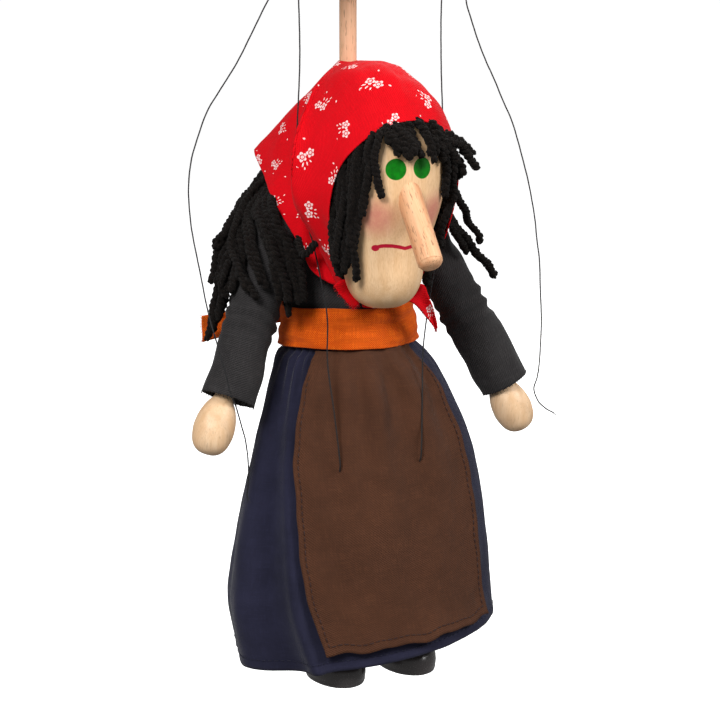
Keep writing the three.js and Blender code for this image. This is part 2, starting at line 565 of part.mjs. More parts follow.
function buildHair() {
  const hair = 0x171210;
  const fringe = [];
  for (let i = 0; i <= 12; i += 1) {
    const angle = THREE.MathUtils.degToRad(-FRINGE.spread + (2 * FRINGE.spread * i) / 12);
    const reach = (height) => {
      const radius = height > FRINGE.bottom ? 28.4 : 30.1;
      return place(radius * Math.sin(angle), 34 + radius * Math.cos(angle), height);
    };
    fringe.push([reach(FRINGE.top), reach(FRINGE.bottom)]);
  }
  add('hair_fringe', sheetShell(fringe, FRINGE.thickness, false, true), hair, 1);
  add('hair_right', lump([[-28, 49.5, 242, 1.7, 5], [-27.3, 50, 228, 2.3, 5], [-25, 49, 208, 3, 5],
    [-23, 47, 192, 2, 3]], 10), hair, 1);
  const leftLock = [[28, 49.5, 242, 1.7, 5], [27.3, 50, 228, 2.3, 5], [25, 49, 212, 2, 3]];
  add('hair_left', lump(leftLock, 10), hair, 1);
  add('hair_back', lump([[-40, -17, 234, 4, 7], [-43, -20, 226, 10, 10], [-46, -22, 208, 13, 10],
    [-49, -22, 190, 12, 9], [-50, -21, 172, 8, 6]]), hair, 1);
  const nape = [[0, -25.5, 214, 19, 3.4], [0, -26.5, 200, 21, 3.6], [0, -26, 183, 17, 2.6]];
  add('hair_nape', lump(nape, 14), hair, 1);
  add('hair_shoulder', lump([[38, -14, 226, 3, 5], [44, -16, 214, 7, 6], [49, -16, 198, 6, 5],
    [52, -15, 184, 3, 3]]), hair, 1);
}

function buildStrings() {
  const black = 0x121212;
  add('hand_string_right', stringTube(HAND_STRING_RIGHT, 42), black);
  add('hand_string_left', stringTube(HAND_STRING_LEFT, 42), black);
  add('knee_string_right', stringTube(KNEE_STRING_RIGHT, KNEE_STEPS), black);
  add('knee_string_left', stringTube(KNEE_STRING_LEFT, KNEE_STEPS), black);
  const knots = { hand_knot_right: HAND_STRING_RIGHT, hand_knot_left: HAND_STRING_LEFT,
    knee_knot_right: KNEE_STRING_RIGHT, knee_knot_left: KNEE_STRING_LEFT };
  for (const [name, [[x, forward]]] of Object.entries(knots)) {
    const middle = place(x, forward, BAR_BOTTOM - GAP - KNOT_RADIUS);
    add(name, new THREE.SphereGeometry(KNOT_RADIUS, 8, 6).translate(...middle), black);
  }
}

buildControl();
buildTorso();
buildHead();
for (const [name, side] of Object.entries(SIDES)) {
  buildArm(name, side);
  buildSleeve(name, side);
  buildLeg(name, side);
}
buildSkirt();
buildApron();
buildSash();
buildBlouse();
buildKerchief();
buildHair();
buildStrings();

export default model;
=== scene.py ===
"""The looks of a wooden witch marionette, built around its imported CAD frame.

Shapes are written in millimetres as (x, forward, height): x to the puppet's left, forward out of
its face, and height above the soles. place() turns that into the shared frame, in metres.
"""

import math
import random

import bpy
import numpy as np
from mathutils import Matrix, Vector, noise


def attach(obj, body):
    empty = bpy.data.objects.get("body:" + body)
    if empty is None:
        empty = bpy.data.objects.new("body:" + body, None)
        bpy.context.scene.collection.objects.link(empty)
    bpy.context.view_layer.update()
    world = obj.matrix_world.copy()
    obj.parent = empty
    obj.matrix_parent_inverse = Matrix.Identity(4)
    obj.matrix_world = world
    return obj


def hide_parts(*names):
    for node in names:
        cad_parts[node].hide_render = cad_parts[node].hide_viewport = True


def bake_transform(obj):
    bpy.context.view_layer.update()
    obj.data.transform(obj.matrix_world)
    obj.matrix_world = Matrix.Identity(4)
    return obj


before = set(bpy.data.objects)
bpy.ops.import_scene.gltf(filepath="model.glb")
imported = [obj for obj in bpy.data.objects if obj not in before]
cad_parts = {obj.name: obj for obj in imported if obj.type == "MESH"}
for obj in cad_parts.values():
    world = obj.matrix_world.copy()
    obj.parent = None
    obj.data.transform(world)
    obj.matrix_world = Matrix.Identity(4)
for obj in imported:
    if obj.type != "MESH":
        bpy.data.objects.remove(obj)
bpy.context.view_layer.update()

MM = 0.001
CONTROL_TOP = 361
STRING = 0.8
PLY_PITCH = 1.6
BAR_UNDERSIDE = 345.7
HEAD = {"forward": 35, "height": 245, "tilt": 0.12, "roll": 0.055, "below": 65, "above": 41.5}
NOSE = {"start": (-0.5, 57, 240), "end": (-2.2, 86, 205.5), "radius": 5.7}
SIDES = {
    "right": {"sign": -1, "shoulder": (-38, 1, 212.5), "hand": (-77, 18, 128.6)},
    "left": {"sign": 1, "shoulder": (38, 1, 207.5), "hand": (79.2, 18, 122)},
}
SHOE_MIDDLE = (19, 23)


# ---- geometry in millimetres ---------------------------------------------------------------


def place(point):
    return (point[0] * MM, -point[1] * MM, (point[2] - CONTROL_TOP) * MM)


def spline(points, count, closed=False):
    """`count` points on a Catmull-Rom curve through `points`, which may have any number of columns."""
    p = np.array(points, float)
    n = len(p)
    steps = n if closed else n - 1
    t = np.linspace(0, steps, count, endpoint=not closed)
    i = np.minimum(t.astype(int), steps - 1)
    f = (t - i)[(...,) + (None,) * (p.ndim - 1)]

    def at(k):
        return p[k % n] if closed else p[np.clip(k, 0, n - 1)]

    a, b, c, d = at(i - 1), at(i), at(i + 1), at(i + 2)
    return 0.5 * (2 * b + (c - a) * f + (2 * a - 5 * b + 4 * c - d) * f**2 + (3 * b - a - 3 * c + d) * f**3)


def evenly(path, step):
    """The path with points about `step` apart."""
    path = np.array(path, float)
    run = np.concatenate([[0], np.cumsum(np.linalg.norm(np.diff(path, axis=0), axis=1))])
    count = max(2, int(round(run[-1] / step)) + 1)
    where = np.linspace(0, run[-1], count)
    return np.stack([np.interp(where, run, path[:, k]) for k in range(3)], axis=1)


def arm_ends(facts):
    """The shoulder's pivot and the wrist of one side."""
    return np.array(facts["shoulder"], float), np.array(facts["hand"], float)


def unit(v):
    return v / np.maximum(np.linalg.norm(v, axis=-1, keepdims=True), 1e-9)


def frames(path):
    """A tangent and two cross directions at each point, turning as little as they can."""
    tangent = unit(np.gradient(path, axis=0))
    across = np.cross(tangent[0], (0.3, 0.2, 1.0))
    across = unit(across if np.linalg.norm(across) > 0.1 else np.cross(tangent[0], (1.0, 0, 0)))
    sides = []
    for t in tangent:
        across = unit(across - t * (across @ t))
        sides.append(across)
    side = np.array(sides)
    return tangent, side, np.cross(tangent, side)


def circle(count):
    """Angles of `count` places evenly round a circle."""
    return np.linspace(0, 2 * math.pi, count, endpoint=False)


def tube(path, radius, sides=8):
    """Vertices and faces of a closed tube; radius is a number or one number for each point."""
    path = np.array(path, float)
    _, u, v = frames(path)
    r = np.broadcast_to(np.asarray(radius, float), (len(path),))[:, None, None]
    angle = circle(sides)
    across, along = np.cos(angle)[None, :, None], np.sin(angle)[None, :, None]
    ring = path[:, None] + r * (across * u[:, None] + along * v[:, None])
    points = ring.reshape(-1, 3)
    faces = grid_faces(len(path), sides, wrap=True)
    last = (len(path) - 1) * sides
    faces += [tuple(range(sides))[::-1], tuple(range(last, last + sides))]
    return points, faces


def grid_faces(rows, columns, wrap=False):
    faces = []
    for i in range(rows - 1):
        for j in range(columns if wrap else columns - 1):
            k = (j + 1) % columns
            faces.append((i * columns + j, i * columns + k, (i + 1) * columns + k, (i + 1) * columns + j))
    return faces


def merged(parts):
    points, faces, start = [], [], 0
    for p, f in parts:
        points.append(np.array(p, float))
        faces += [tuple(i + start for i in face) for face in f]
        start += len(p)
    return np.concatenate(points), faces


def lathe(profile, origin, axis, sides=72, detail=4):
    """A closed turned body: profile is (radius, distance) along the axis, both ends on the axis."""
    line = spline(profile, (len(profile) - 1) * detail + 1)
    line[:, 0] = np.maximum(line[:, 0], 0)
    axis = unit(np.array(axis, float))
    u = unit(np.cross(axis, (0.0, 1.0, 0.0) if abs(axis[1]) < 0.9 else (1.0, 0, 0)))
    v = np.cross(axis, u)
    angle = circle(sides)
    turn = np.cos(angle)[:, None] * u + np.sin(angle)[:, None] * v
    inner = line[1:-1]
    rings = np.array(origin) + inner[:, None, 1:2] * axis + inner[:, None, 0:1] * turn[None]
    ends = np.array(origin) + line[[0, -1], 1:2] * axis
    points = np.concatenate([rings.reshape(-1, 3), ends])
    faces = grid_faces(len(inner), sides, wrap=True)
    first, last = len(points) - 2, len(points) - 1
    top = (len(inner) - 1) * sides
    for j in range(sides):
        k = (j + 1) % sides
        faces += [(first, k, j), (last, top + j, top + k)]
    return points, faces


def made(name, shape, material, body, replaces=(), smooth=True):
    """A mesh piece from points in millimetres, riding on a body."""
    points, faces = shape
    mesh = bpy.data.meshes.new(name)
    mesh.from_pydata([place(p) for p in points], [], faces)
    mesh.validate()
    if signed_volume(mesh) < 0:
        mesh.flip_normals()
    mesh.polygons.foreach_set("use_smooth", [smooth] * len(mesh.polygons))
    piece = bpy.data.objects.new(name, mesh)
    bpy.context.scene.collection.objects.link(piece)
    mesh.materials.append(material)
    if body:
        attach(piece, body)
    if replaces:
        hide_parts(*replaces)
    return piece


def signed_volume(mesh):
    mesh.calc_loop_triangles()
    co = np.array([v.co for v in mesh.vertices], float)
    tri = np.array([t.vertices for t in mesh.loop_triangles])
    a, b, c = co[tri[:, 0]], co[tri[:, 1]], co[tri[:, 2]]
    return float((a * np.cross(b, c)).sum())


def cloth(name, grid, material, body, thickness, wrap=False, facing=None, replaces=()):
    """A sheet of cloth through rows of points, thickened inwards, with its flat cut as its UV map."""
    rows, columns = grid.shape[:2]
    piece = open_mesh(name, grid.reshape(-1, 3), grid_faces(rows, columns, wrap), material)
    face_outwards(piece.data, facing)
    looped = np.concatenate([grid, grid[:, :1]], axis=1) if wrap else grid
    across = np.linalg.norm(np.diff(looped, axis=1), axis=2).mean(axis=0)
    u = np.concatenate([[0], np.cumsum(across)])
    down = np.linalg.norm(np.diff(grid, axis=0), axis=2).mean(axis=1)
    v = np.concatenate([[0], np.cumsum(down)])
    layer = piece.data.uv_layers.new(name="cloth")
    for polygon in piece.data.polygons:
        corners = [divmod(k, columns) for k in polygon.vertices]
        seam = wrap and {0, columns - 1} <= {j for _, j in corners}
        for loop, (i, j) in zip(polygon.loop_indices, corners):
            layer.data[loop].uv = (u[columns if seam and j == 0 else j] * MM, v[i] * MM)
    finish_cloth(piece, body, thickness, replaces)
    return piece


def finish_cloth(piece, body, thickness, replaces):
    solid = piece.modifiers.new("thickness", "SOLIDIFY")
    solid.thickness = thickness * MM
    solid.offset = -1
    solid.use_rim = True
    if body:
        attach(piece, body)
    if replaces:
        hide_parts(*replaces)


def face_outwards(mesh, facing):
    """Turns an open mesh's faces away from its upright middle line, or towards `facing`."""
    centres = np.array([p.center for p in mesh.polygons])
    normals = np.array([p.normal for p in mesh.polygons])
    if facing is None:
        spoke = centres - centres.mean(axis=0)
        spoke[:, 2] = 0
    else:
        spoke = np.array([[facing[0], -facing[1], facing[2]]])
    if (normals * spoke).sum() < 0:
        mesh.flip_normals()


def open_mesh(name, points, faces, material):
    mesh = bpy.data.meshes.new(name)
    mesh.from_pydata([place(p) for p in points], [], faces)
    mesh.polygons.foreach_set("use_smooth", [True] * len(mesh.polygons))
    mesh.materials.append(material)
    piece = bpy.data.objects.new(name, mesh)
    bpy.context.scene.collection.objects.link(piece)
    return piece


# ---- materials --------------------------------------------------------------------------------


class Graph:
    """A node material that is built by small calls; each returns the socket that it makes."""

    def __init__(self, name, **constants):
        self.material = bpy.data.materials.new(name)
        self.material.use_nodes = True
        self.tree = self.material.node_tree
        self.shader = self.tree.nodes["Principled BSDF"]
        for socket, value in constants.items():
            self.shader.inputs[socket.replace("_", " ")].default_value = value

    def node(self, kind, inputs=(), **properties):
        made_node = self.tree.nodes.new(kind)
        for key, value in properties.items():
            setattr(made_node, key, value)
        for key, value in dict(inputs).items():
            self.feed(made_node.inputs[key], value)
        return made_node

    def feed(self, socket, value):
        if isinstance(value, bpy.types.NodeSocket):
            self.tree.links.new(value, socket)
        else:
            socket.default_value = value

    def math(self, operation, a, b=0.0, c=0.0):
        return self.node("ShaderNodeMath", {0: a, 1: b, 2: c}, operation=operation).outputs[0]

    def add(self, a, b):
        return self.math("ADD", a, b)

    def less(self, a, b):
        return self.math("SUBTRACT", a, b)

    def times(self, a, b):
        return self.math("MULTIPLY", a, b)

    def vector_math(self, operation, a, b=(0, 0, 0)):
        made_node = self.node("ShaderNodeVectorMath", {0: a, 1: b}, operation=operation)
        number = operation in ("LENGTH", "DOT_PRODUCT", "DISTANCE")
        return made_node.outputs["Value" if number else "Vector"]

    def place(self):
        """The point on the resting object, in millimetres."""
        coordinates = self.node("ShaderNodeTexCoord").outputs["Object"]
        return self.vector_math("MULTIPLY", coordinates, (1000, 1000, 1000))

    def flat(self):
        """The point on the flat cut of a cloth, in millimetres."""
        coordinates = self.node("ShaderNodeUVMap", uv_map="cloth").outputs["UV"]
        return self.vector_math("MULTIPLY", coordinates, (1000, 1000, 1000))

    def split(self, vector):
        parts = self.node("ShaderNodeSeparateXYZ", {0: vector})
        return parts.outputs[0], parts.outputs[1], parts.outputs[2]

    def stretched(self, vector, scale, turn=(0, 0, 0)):
        """The vector in turned axes, each then multiplied by its own scale."""
        scales = tuple(1 / s for s in scale)
        return self.node("ShaderNodeMapping", {"Vector": vector, "Scale": scales, "Rotation": turn},
                         vector_type="TEXTURE").outputs[0]

    def noise(self, vector, scale, detail=3.0, roughness=0.55, distortion=0.0):
        inputs = {"Vector": vector, "Scale": scale, "Detail": detail, "Roughness": roughness,
                  "Distortion": distortion}
        return self.node("ShaderNodeTexNoise", inputs).outputs["Fac"]

    def span(self, value, low, high, to_low=0.0, to_high=1.0):
        """Maps low..high smoothly to the new range, and holds its ends."""
        inputs = {"Value": value, "From Min": low, "From Max": high, "To Min": to_low, "To Max": to_high}
        return self.node("ShaderNodeMapRange", inputs, interpolation_type="SMOOTHSTEP").outputs["Result"]

    def mix(self, share, a, b):
        made_node = self.node("ShaderNodeMix", data_type="RGBA")
        for index, value in ((0, share), (6, a), (7, b)):
            self.feed(made_node.inputs[index], value)
        return made_node.outputs[2]

    def bump(self, height, distance, strength=1.0, after=None):
        """A bump of that depth in millimetres."""
        inputs = {"Height": height, "Distance": distance * MM, "Strength": strength}
        if after is not None:
            inputs["Normal"] = after
        return self.node("ShaderNodeBump", inputs).outputs["Normal"]

    def done(self, colour, roughness=None, normal=None):
        self.feed(self.shader.inputs["Base Color"], colour)
        if roughness is not None:
            self.feed(self.shader.inputs["Roughness"], roughness)
        if normal is not None:
            self.feed(self.shader.inputs["Normal"], normal)
        return self.material


def colour(red, green, blue):
    """Display colour, 0 to 255, as linear light."""
    shares = [c / 255 for c in (red, green, blue)]
    return tuple(c / 12.92 if c <= 10 / 255 else ((c + 0.055) / 1.055) ** 2.4 for c in shares) + (1.0,)


def grain(g, turn, fleck):
    """The long grain of a pale hardwood: slow bands, fine pores and short dark flecks."""
    spot = g.place()
    slow = g.noise(g.stretched(spot, (1, 1, 0.05), turn), 0.22, 4, 0.6, 0.4)
    fine = g.noise(g.stretched(spot, (1, 1, 0.035), turn), 2.4, 3, 0.6)
    dashes = g.span(g.noise(g.stretched(spot, (1, 1, 0.16), turn), 1.5, 1, 0.5), 0.6, 0.7, 0.0, fleck)
    return spot, slow, fine, dashes


def wood(name, light, dark, turn=(0, 0, 0), fleck=0.5, roughness=0.5):
    g = Graph(name)
    spot, slow, fine, dashes = grain(g, turn, fleck)
    base = g.mix(g.span(slow, 0.3, 0.75), light, dark)
    base = g.mix(g.times(g.span(fine, 0.35, 0.7), 0.45), base, dark)
    base = g.mix(dashes, base, tuple(0.55 * c for c in dark[:3]) + (1,))
    rough = g.add(g.times(fine, 0.25), roughness - 0.12)
    scuff = g.noise(spot, 0.12, 3)
    rough = g.add(rough, g.times(scuff, 0.12))
    return g.done(base, rough, g.bump(g.less(fine, dashes), 0.08, 0.6))


def near_point(g, spot, point, radius, soft):
    """1 within radius of a point and 0 beyond, both in millimetres."""
    centre = (point[0], -point[1], point[2] - CONTROL_TOP)
    return g.span(g.vector_math("DISTANCE", spot, centre), radius - soft, radius + soft, 1.0, 0.0)


EYES = ((-7.9, 62.7, 246.5), (4.9, 63.2, 246.5))
EYE_RADIUS = 4.75
# The mouth is highest `peak` to each side of its middle, droops to its ends and dips behind the nose.
MOUTH = {"middle": -1.5, "height": 211.4, "peak": 8.0, "bend": 0.045, "dip": 0.018,
         "reach": 12.7, "half_width": 0.85, "end": 1.45}
CHEEKS = ((-14.5, 56.5, 225), (12.5, 58, 226))


def face_wood():
    """Lacquered pale wood with painted eyes, mouth and cheeks."""
    g = Graph("face_wood", Coat_Weight=0.1, Coat_Roughness=0.3, Specular_IOR_Level=0.2)
    spot, slow, fine, dashes = grain(g, (-HEAD["tilt"], 0, 0), 0.1)
    base = g.mix(g.span(slow, 0.3, 0.75), colour(238, 201, 158), colour(226, 184, 137))
    base = g.mix(g.times(g.span(fine, 0.4, 0.7), 0.35), base, colour(198, 148, 100))
    base = g.mix(dashes, base, colour(150, 104, 70))
    x, y, z = g.split(spot)
    ahead = g.span(g.times(y, -1), 36, 40)
    patchy = g.noise(spot, 0.5, 4, 0.65)
    for cheek in CHEEKS:
        blush = near_point(g, spot, cheek, 7.5, 5.5)
        blush = g.times(blush, g.span(patchy, 0.1, 0.7, 0.5, 0.85))
        base = g.mix(blush, base, colour(206, 122, 108))
    for eye in EYES:
        base = g.mix(near_point(g, spot, eye, EYE_RADIUS, 0.12), base, green_paint(g, spot))
    aside = g.math("ABSOLUTE", g.less(x, MOUTH["middle"]))
    past = g.less(aside, MOUTH["peak"])
    level = g.math("MULTIPLY_ADD", x, -HEAD["roll"], MOUTH["height"] - CONTROL_TOP)
    inner = g.times(g.times(past, past), MOUTH["dip"])
    outer = g.times(g.times(past, past), MOUTH["bend"])
    side = g.math("GREATER_THAN", past, 0.0)
    bow = g.add(inner, g.times(side, g.less(outer, inner)))
    bow = g.less(level, bow)
    away = g.math("ABSOLUTE", g.less(z, bow))
    waver = g.times(g.less(patchy, 0.5), 0.35)
    stroke = g.span(g.add(away, waver), MOUTH["half_width"] - 0.1, MOUTH["half_width"] + 0.12, 1.0, 0.0)
    stroke = g.times(stroke, g.span(aside, MOUTH["reach"], MOUTH["reach"] + 0.2, 1.0, 0.0))
    for sign in (-1, 1):
        end_x = MOUTH["middle"] + sign * MOUTH["reach"]
        droop = MOUTH["bend"] * (MOUTH["reach"] - MOUTH["peak"]) ** 2
        end_z = MOUTH["height"] - HEAD["roll"] * end_x - droop
        front = g.vector_math("MULTIPLY", spot, (1, 0, 1))
        near = g.vector_math("DISTANCE", front, (end_x, 0, end_z - 0.3 - CONTROL_TOP))
        stroke = g.math("MAXIMUM", stroke, g.span(near, MOUTH["end"] - 0.1, MOUTH["end"] + 0.12, 1.0, 0.0))
    stroke = g.times(stroke, ahead)
    base = g.mix(stroke, base, colour(176, 14, 46))
    rough = g.add(g.times(fine, 0.2), 0.36)
    return g.done(base, rough, g.bump(fine, 0.04, 0.5))


def green_paint(g, spot):
    return g.mix(g.span(g.noise(spot, 0.35, 2), 0.3, 0.7), colour(0, 100, 4), colour(0, 126, 8))


def threads(g, flat, pitch, twill=False):
    """The height of a woven cloth with threads every `pitch` millimetres, and its thick places."""
    wobble = g.noise(flat, 0.35, 3)
    x, y, _ = g.split(flat)
    turn = 2 * math.pi / pitch
    across = g.add(g.times(x, turn), g.times(wobble, 2.0))
    along = g.add(g.times(y, turn), g.times(wobble, 2.0))
    if twill:
        ridge = g.math("SINE", g.add(g.times(across, 0.5), g.times(along, 0.5)))
        height = g.add(ridge, g.times(g.math("SINE", across), 0.35))
    else:
        height = g.times(g.math("SINE", across), g.math("SINE", along))
    slub = g.noise(g.stretched(flat, (0.12, 1.6, 1)), 1.1, 2)
    slub_down = g.noise(g.stretched(flat, (1.6, 0.12, 1)), 1.1, 2)
    return g.math("MULTIPLY_ADD", height, 0.5, 0.5), g.add(slub, slub_down)


def woven(name, light, dark, pitch=0.5, depth=0.12, twill=False, contrast=0.5, sheen=0.25, slubs=0.5,
          roughness=0.85, printed=None):
    """Woven cloth: threads with shaded gaps, slubs, slow fading and a crumpled surface."""
    g = Graph(name, Sheen_Weight=sheen, Sheen_Roughness=0.4, Specular_IOR_Level=0.12)
    flat = g.flat()
    height, slub = threads(g, flat, pitch, twill)
    base = g.mix(g.span(g.noise(flat, 0.045, 4, 0.6), 0.0, 1.0), light, dark)
    if printed:
        base = printed(g, flat, base)
    gap = g.times(g.span(height, 0.0, 0.55, 1.0, 0.0), contrast)
    base = g.mix(gap, base, tuple(0.35 * c for c in dark[:3]) + (1,))
    thick = g.times(g.span(slub, 0.95, 1.3), slubs)
    base = g.mix(g.times(thick, 0.5), base, tuple(min(1, 1.5 * c) for c in light[:3]) + (1,))
    rough = g.add(g.times(slub, 0.1), roughness - 0.1)
    crumple = g.bump(g.noise(flat, 0.1, 5, 0.6), 0.7, 0.35)
    weave = g.bump(g.add(height, g.times(slub, 0.8)), depth, 0.8, after=crumple)
    return g.done(base, rough, weave)


# The kerchief's print: a sprig in each cell of a brick pattern, and a dash between sprigs.
SPRIG_CELL = 19.0
# Flowers as place and radius; leaves as place, angle and length.
FLOWERS = ((-2.6, 0.6, 2.2), (1.1, -1.5, 2.2))
LEAVES = ((2.2, 2.0, 0.9, 1.7), (3.6, 0.6, 0.3, 1.9), (0.4, 2.9, 1.5, 1.5), (4.6, 2.2, 0.6, 1.2))


def rotated(g, x, y, angle):
    s, c = g.math("SINE", angle), g.math("COSINE", angle)
    return (g.less(g.times(x, c), g.times(y, s)),
            g.add(g.times(x, s), g.times(y, c)))


def cells(g, flat, size, shift):
    """Where a point is in its cell of a brick pattern, from the cell's middle, and a chance number."""
    x, y, _ = g.split(g.vector_math("ADD", flat, (shift + 1000 * size, 1000 * size, 0)))
    row = g.math("FLOOR", g.math("DIVIDE", y, size))
    offset = g.times(g.math("MODULO", row, 2.0), size / 2)
    moved = g.add(x, offset)
    column = g.math("FLOOR", g.math("DIVIDE", moved, size))
    here_x = g.less(g.less(moved, g.times(column, size)), size / 2)
    here_y = g.less(g.less(y, g.times(row, size)), size / 2)
    key = g.node("ShaderNodeCombineXYZ", {0: column, 1: row}).outputs[0]
    chance = g.node("ShaderNodeTexWhiteNoise", {"Vector": key}, noise_dimensions="3D").outputs["Value"]
    return here_x, here_y, chance


def sprigs(g, flat, base):
    """White flower sprigs and dashes printed on the base colour."""
    x, y, chance = cells(g, flat, SPRIG_CELL, 0.0)
    x = g.add(x, g.times(g.less(chance, 0.5), 3.0))
    x, y = g.times(x, 1.15), g.times(y, 1.15)
    x, y = rotated(g, x, y, g.times(chance, 2 * math.pi))
    ink = 0.0
    for cx, cy, radius in FLOWERS:
        dx, dy = g.less(x, cx), g.less(y, cy)
        away = g.math("SQRT", g.add(g.times(dx, dx), g.times(dy, dy)))
        petals = g.math("SINE", g.times(g.math("ARCTAN2", dy, dx), 5.0))
        rim = g.math("MULTIPLY_ADD", petals, 0.16 * radius, 0.86 * radius)
        flower = g.span(g.less(away, rim), -0.12, 0.12, 1.0, 0.0)
        ring = g.span(g.math("ABSOLUTE", g.less(away, 0.42 * radius)), 0.12, 0.3)
        veins = g.span(g.times(petals, -1), 0.75, 0.95, 1.0, 0.2)
        ink = g.math("MAXIMUM", ink, g.times(g.times(flower, ring), veins))
    for cx, cy, angle, length in LEAVES:
        px, py = rotated(g, g.less(x, cx), g.less(y, cy), -angle)
        px = g.math("DIVIDE", px, 0.5 * length)
        py = g.math("DIVIDE", py, 0.34)
        away = g.add(g.times(px, px), g.times(py, py))
        ink = g.math("MAXIMUM", ink, g.span(away, 0.8, 1.3, 1.0, 0.0))
    dx, dy, turn = cells(g, flat, SPRIG_CELL / 2, SPRIG_CELL / 4)
    dx, dy = rotated(g, dx, dy, g.times(turn, 2 * math.pi))
    dx = g.times(dx, 0.6)
    dash = g.add(g.times(dx, dx), g.times(dy, dy))
    far = g.span(g.add(g.times(x, x), g.times(y, y)), 30.0, 34.0)
    dash = g.times(g.span(dash, 0.08, 0.14, 1.0, 0.0), far)
    ink = g.math("MAXIMUM", ink, g.times(dash, g.span(turn, 0.45, 0.46)))
    worn = g.span(g.noise(flat, 2.2, 3, 0.7), 0.3, 0.5, 0.72, 1.0)
    return g.mix(g.times(ink, worn), base, colour(255, 232, 230))


def yarn_wool():
    """Matt black wool with a fibrous surface and painted highlights: browner fibres, spread by noise."""
    g = Graph("hair_wool", Sheen_Weight=0.04, Sheen_Roughness=0.5, Specular_IOR_Level=0.06, Roughness=0.95)
    spot = g.place()
    fibres = g.noise(g.stretched(spot, (1, 1, 0.6)), 2.6, 6, 0.75, 0.6)
    clumps = g.noise(spot, 0.3, 3)
    # painted highlight: the fibres that the noise picks are mixed towards a lighter brown
    base = g.mix(g.span(fibres, 0.42, 0.78), colour(10, 8, 7), colour(52, 43, 38))
    base = g.mix(g.times(g.span(clumps, 0.45, 0.75), 0.4), base, colour(16, 13, 13))
    return g.done(base, None, g.bump(fibres, 0.8, 0.9))


def thread(name, shade):
    g = Graph(name, Specular_IOR_Level=0.3)
    spot = g.place()
    lay = g.noise(g.stretched(spot, (1, 1, 2.5), (0.5, 0.3, 0)), 2.0, 2)
    base = g.mix(g.span(lay, 0.35, 0.65), shade, tuple(min(1, 2.2 * c + 0.004) for c in shade[:3]) + (1,))
    return g.done(base, g.math("MULTIPLY_ADD", lay, 0.2, 0.5), g.bump(lay, 0.1, 0.8))


def painted(name, shade, roughness):
    """Satin paint on wood, with soft brush marks, dust and small scuffs."""
    g = Graph(name, Coat_Weight=0.35, Coat_Roughness=0.2, Specular_IOR_Level=0.5)
    spot = g.place()
    brush = g.noise(g.stretched(spot, (1, 0.2, 1)), 0.9, 3, 0.6)
    dust = g.span(g.noise(spot, 1.4, 5, 0.7), 0.55, 0.75)
    base = g.mix(g.times(dust, 0.25), shade, colour(96, 90, 88))
    rough = g.add(g.times(brush, 0.2), g.math("MULTIPLY_ADD", dust, 0.2, roughness - 0.1))
    return g.done(base, rough, g.bump(brush, 0.1, 0.5))


def metal(name, shade, roughness):
    g = Graph(name, Metallic=1.0)
    spot = g.place()
    spin = g.noise(g.stretched(spot, (3, 3, 0.4)), 1.2, 3, 0.6)
    tarnish = g.span(g.noise(spot, 0.5, 4, 0.6), 0.5, 0.8)
    base = g.mix(g.times(tarnish, 0.5), shade, tuple(0.5 * c for c in shade[:3]) + (1,))
    return g.done(base, g.math("MULTIPLY_ADD", spin, 0.25, roughness - 0.1), g.bump(spin, 0.03, 0.5))


def backdrop_paint():
    """A pale floor that glows as far as the camera sees, so that it stays white to its edge."""
    g = Graph("pale_floor", Specular_IOR_Level=0.1)
    spot = g.place()
    base = g.mix(g.noise(spot, 0.004, 2), (0.93, 0.93, 0.93, 1), (0.97, 0.97, 0.97, 1))
    g.feed(g.shader.inputs["Emission Color"], base)
    g.shader.inputs["Emission Strength"].default_value = 0.85
    return g.done(base, 0.9)


# ---- camera, light and floor ---------------------------------------------------------------------

AIM = (4.95, 2.52, 148.05)
CAMERA = {"turn": 27, "rise": 12, "distance": 1050, "lens": 110.25, "sensor": 36}
FLOOR_DROP = 150
AMBIENT = 0.28


def camera():
    turn, rise = math.radians(-CAMERA["turn"]), math.radians(CAMERA["rise"])
    back = Vector((math.sin(turn) * math.cos(rise), -math.cos(turn) * math.cos(rise), math.sin(rise)))
    data = bpy.data.cameras.new("camera")
    data.lens, data.sensor_width = CAMERA["lens"], CAMERA["sensor"]
    eye = bpy.data.objects.new("camera", data)
    bpy.context.scene.collection.objects.link(eye)
    eye.location = Vector(place(AIM)) + back * CAMERA["distance"] * MM
    eye.rotation_mode = "QUATERNION"
    eye.rotation_quaternion = (-back).to_track_quat("-Z", "Y")
    bpy.context.scene.camera = eye


def softbox(name, azimuth, rise, distance, size, power):
    """A square area light aimed at the puppet, at an angle round it from its front."""
    turn, up = math.radians(azimuth), math.radians(rise)
    away = Vector((math.sin(turn) * math.cos(up), -math.cos(turn) * math.cos(up), math.sin(up)))
    data = bpy.data.lights.new(name, "AREA")
    data.size, data.energy = size, power
    light = bpy.data.objects.new(name, data)
    bpy.context.scene.collection.objects.link(light)
    light.location = Vector(place(AIM)) + away * distance
    light.rotation_mode = "QUATERNION"
    light.rotation_quaternion = (-away).to_track_quat("-Z", "Y")
    light.visible_camera = False


def studio():
    softbox("key", -50, 36, 1.5, 0.45, 19)
    softbox("second", 40, 34, 1.5, 0.6, 15)
    softbox("rim", 135, 32, 1.6, 1.0, 12)
    scene = bpy.context.scene
    scene.world = bpy.data.worlds.new("studio")
    scene.world.use_nodes = True
    background = scene.world.node_tree.nodes["Background"]
    background.inputs["Color"].default_value = (1, 1, 1, 1)
    background.inputs["Strength"].default_value = AMBIENT
    half, depth = 3000, -FLOOR_DROP
    corners = [(-half, -half, depth), (half, -half, depth), (half, half, depth), (-half, half, depth)]
    floor = made("floor", (corners, [(0, 1, 2, 3)]), backdrop_paint(), None)
    floor.visible_diffuse = floor.visible_glossy = False
    paper_dome()
    scene.view_settings.view_transform = "Standard"


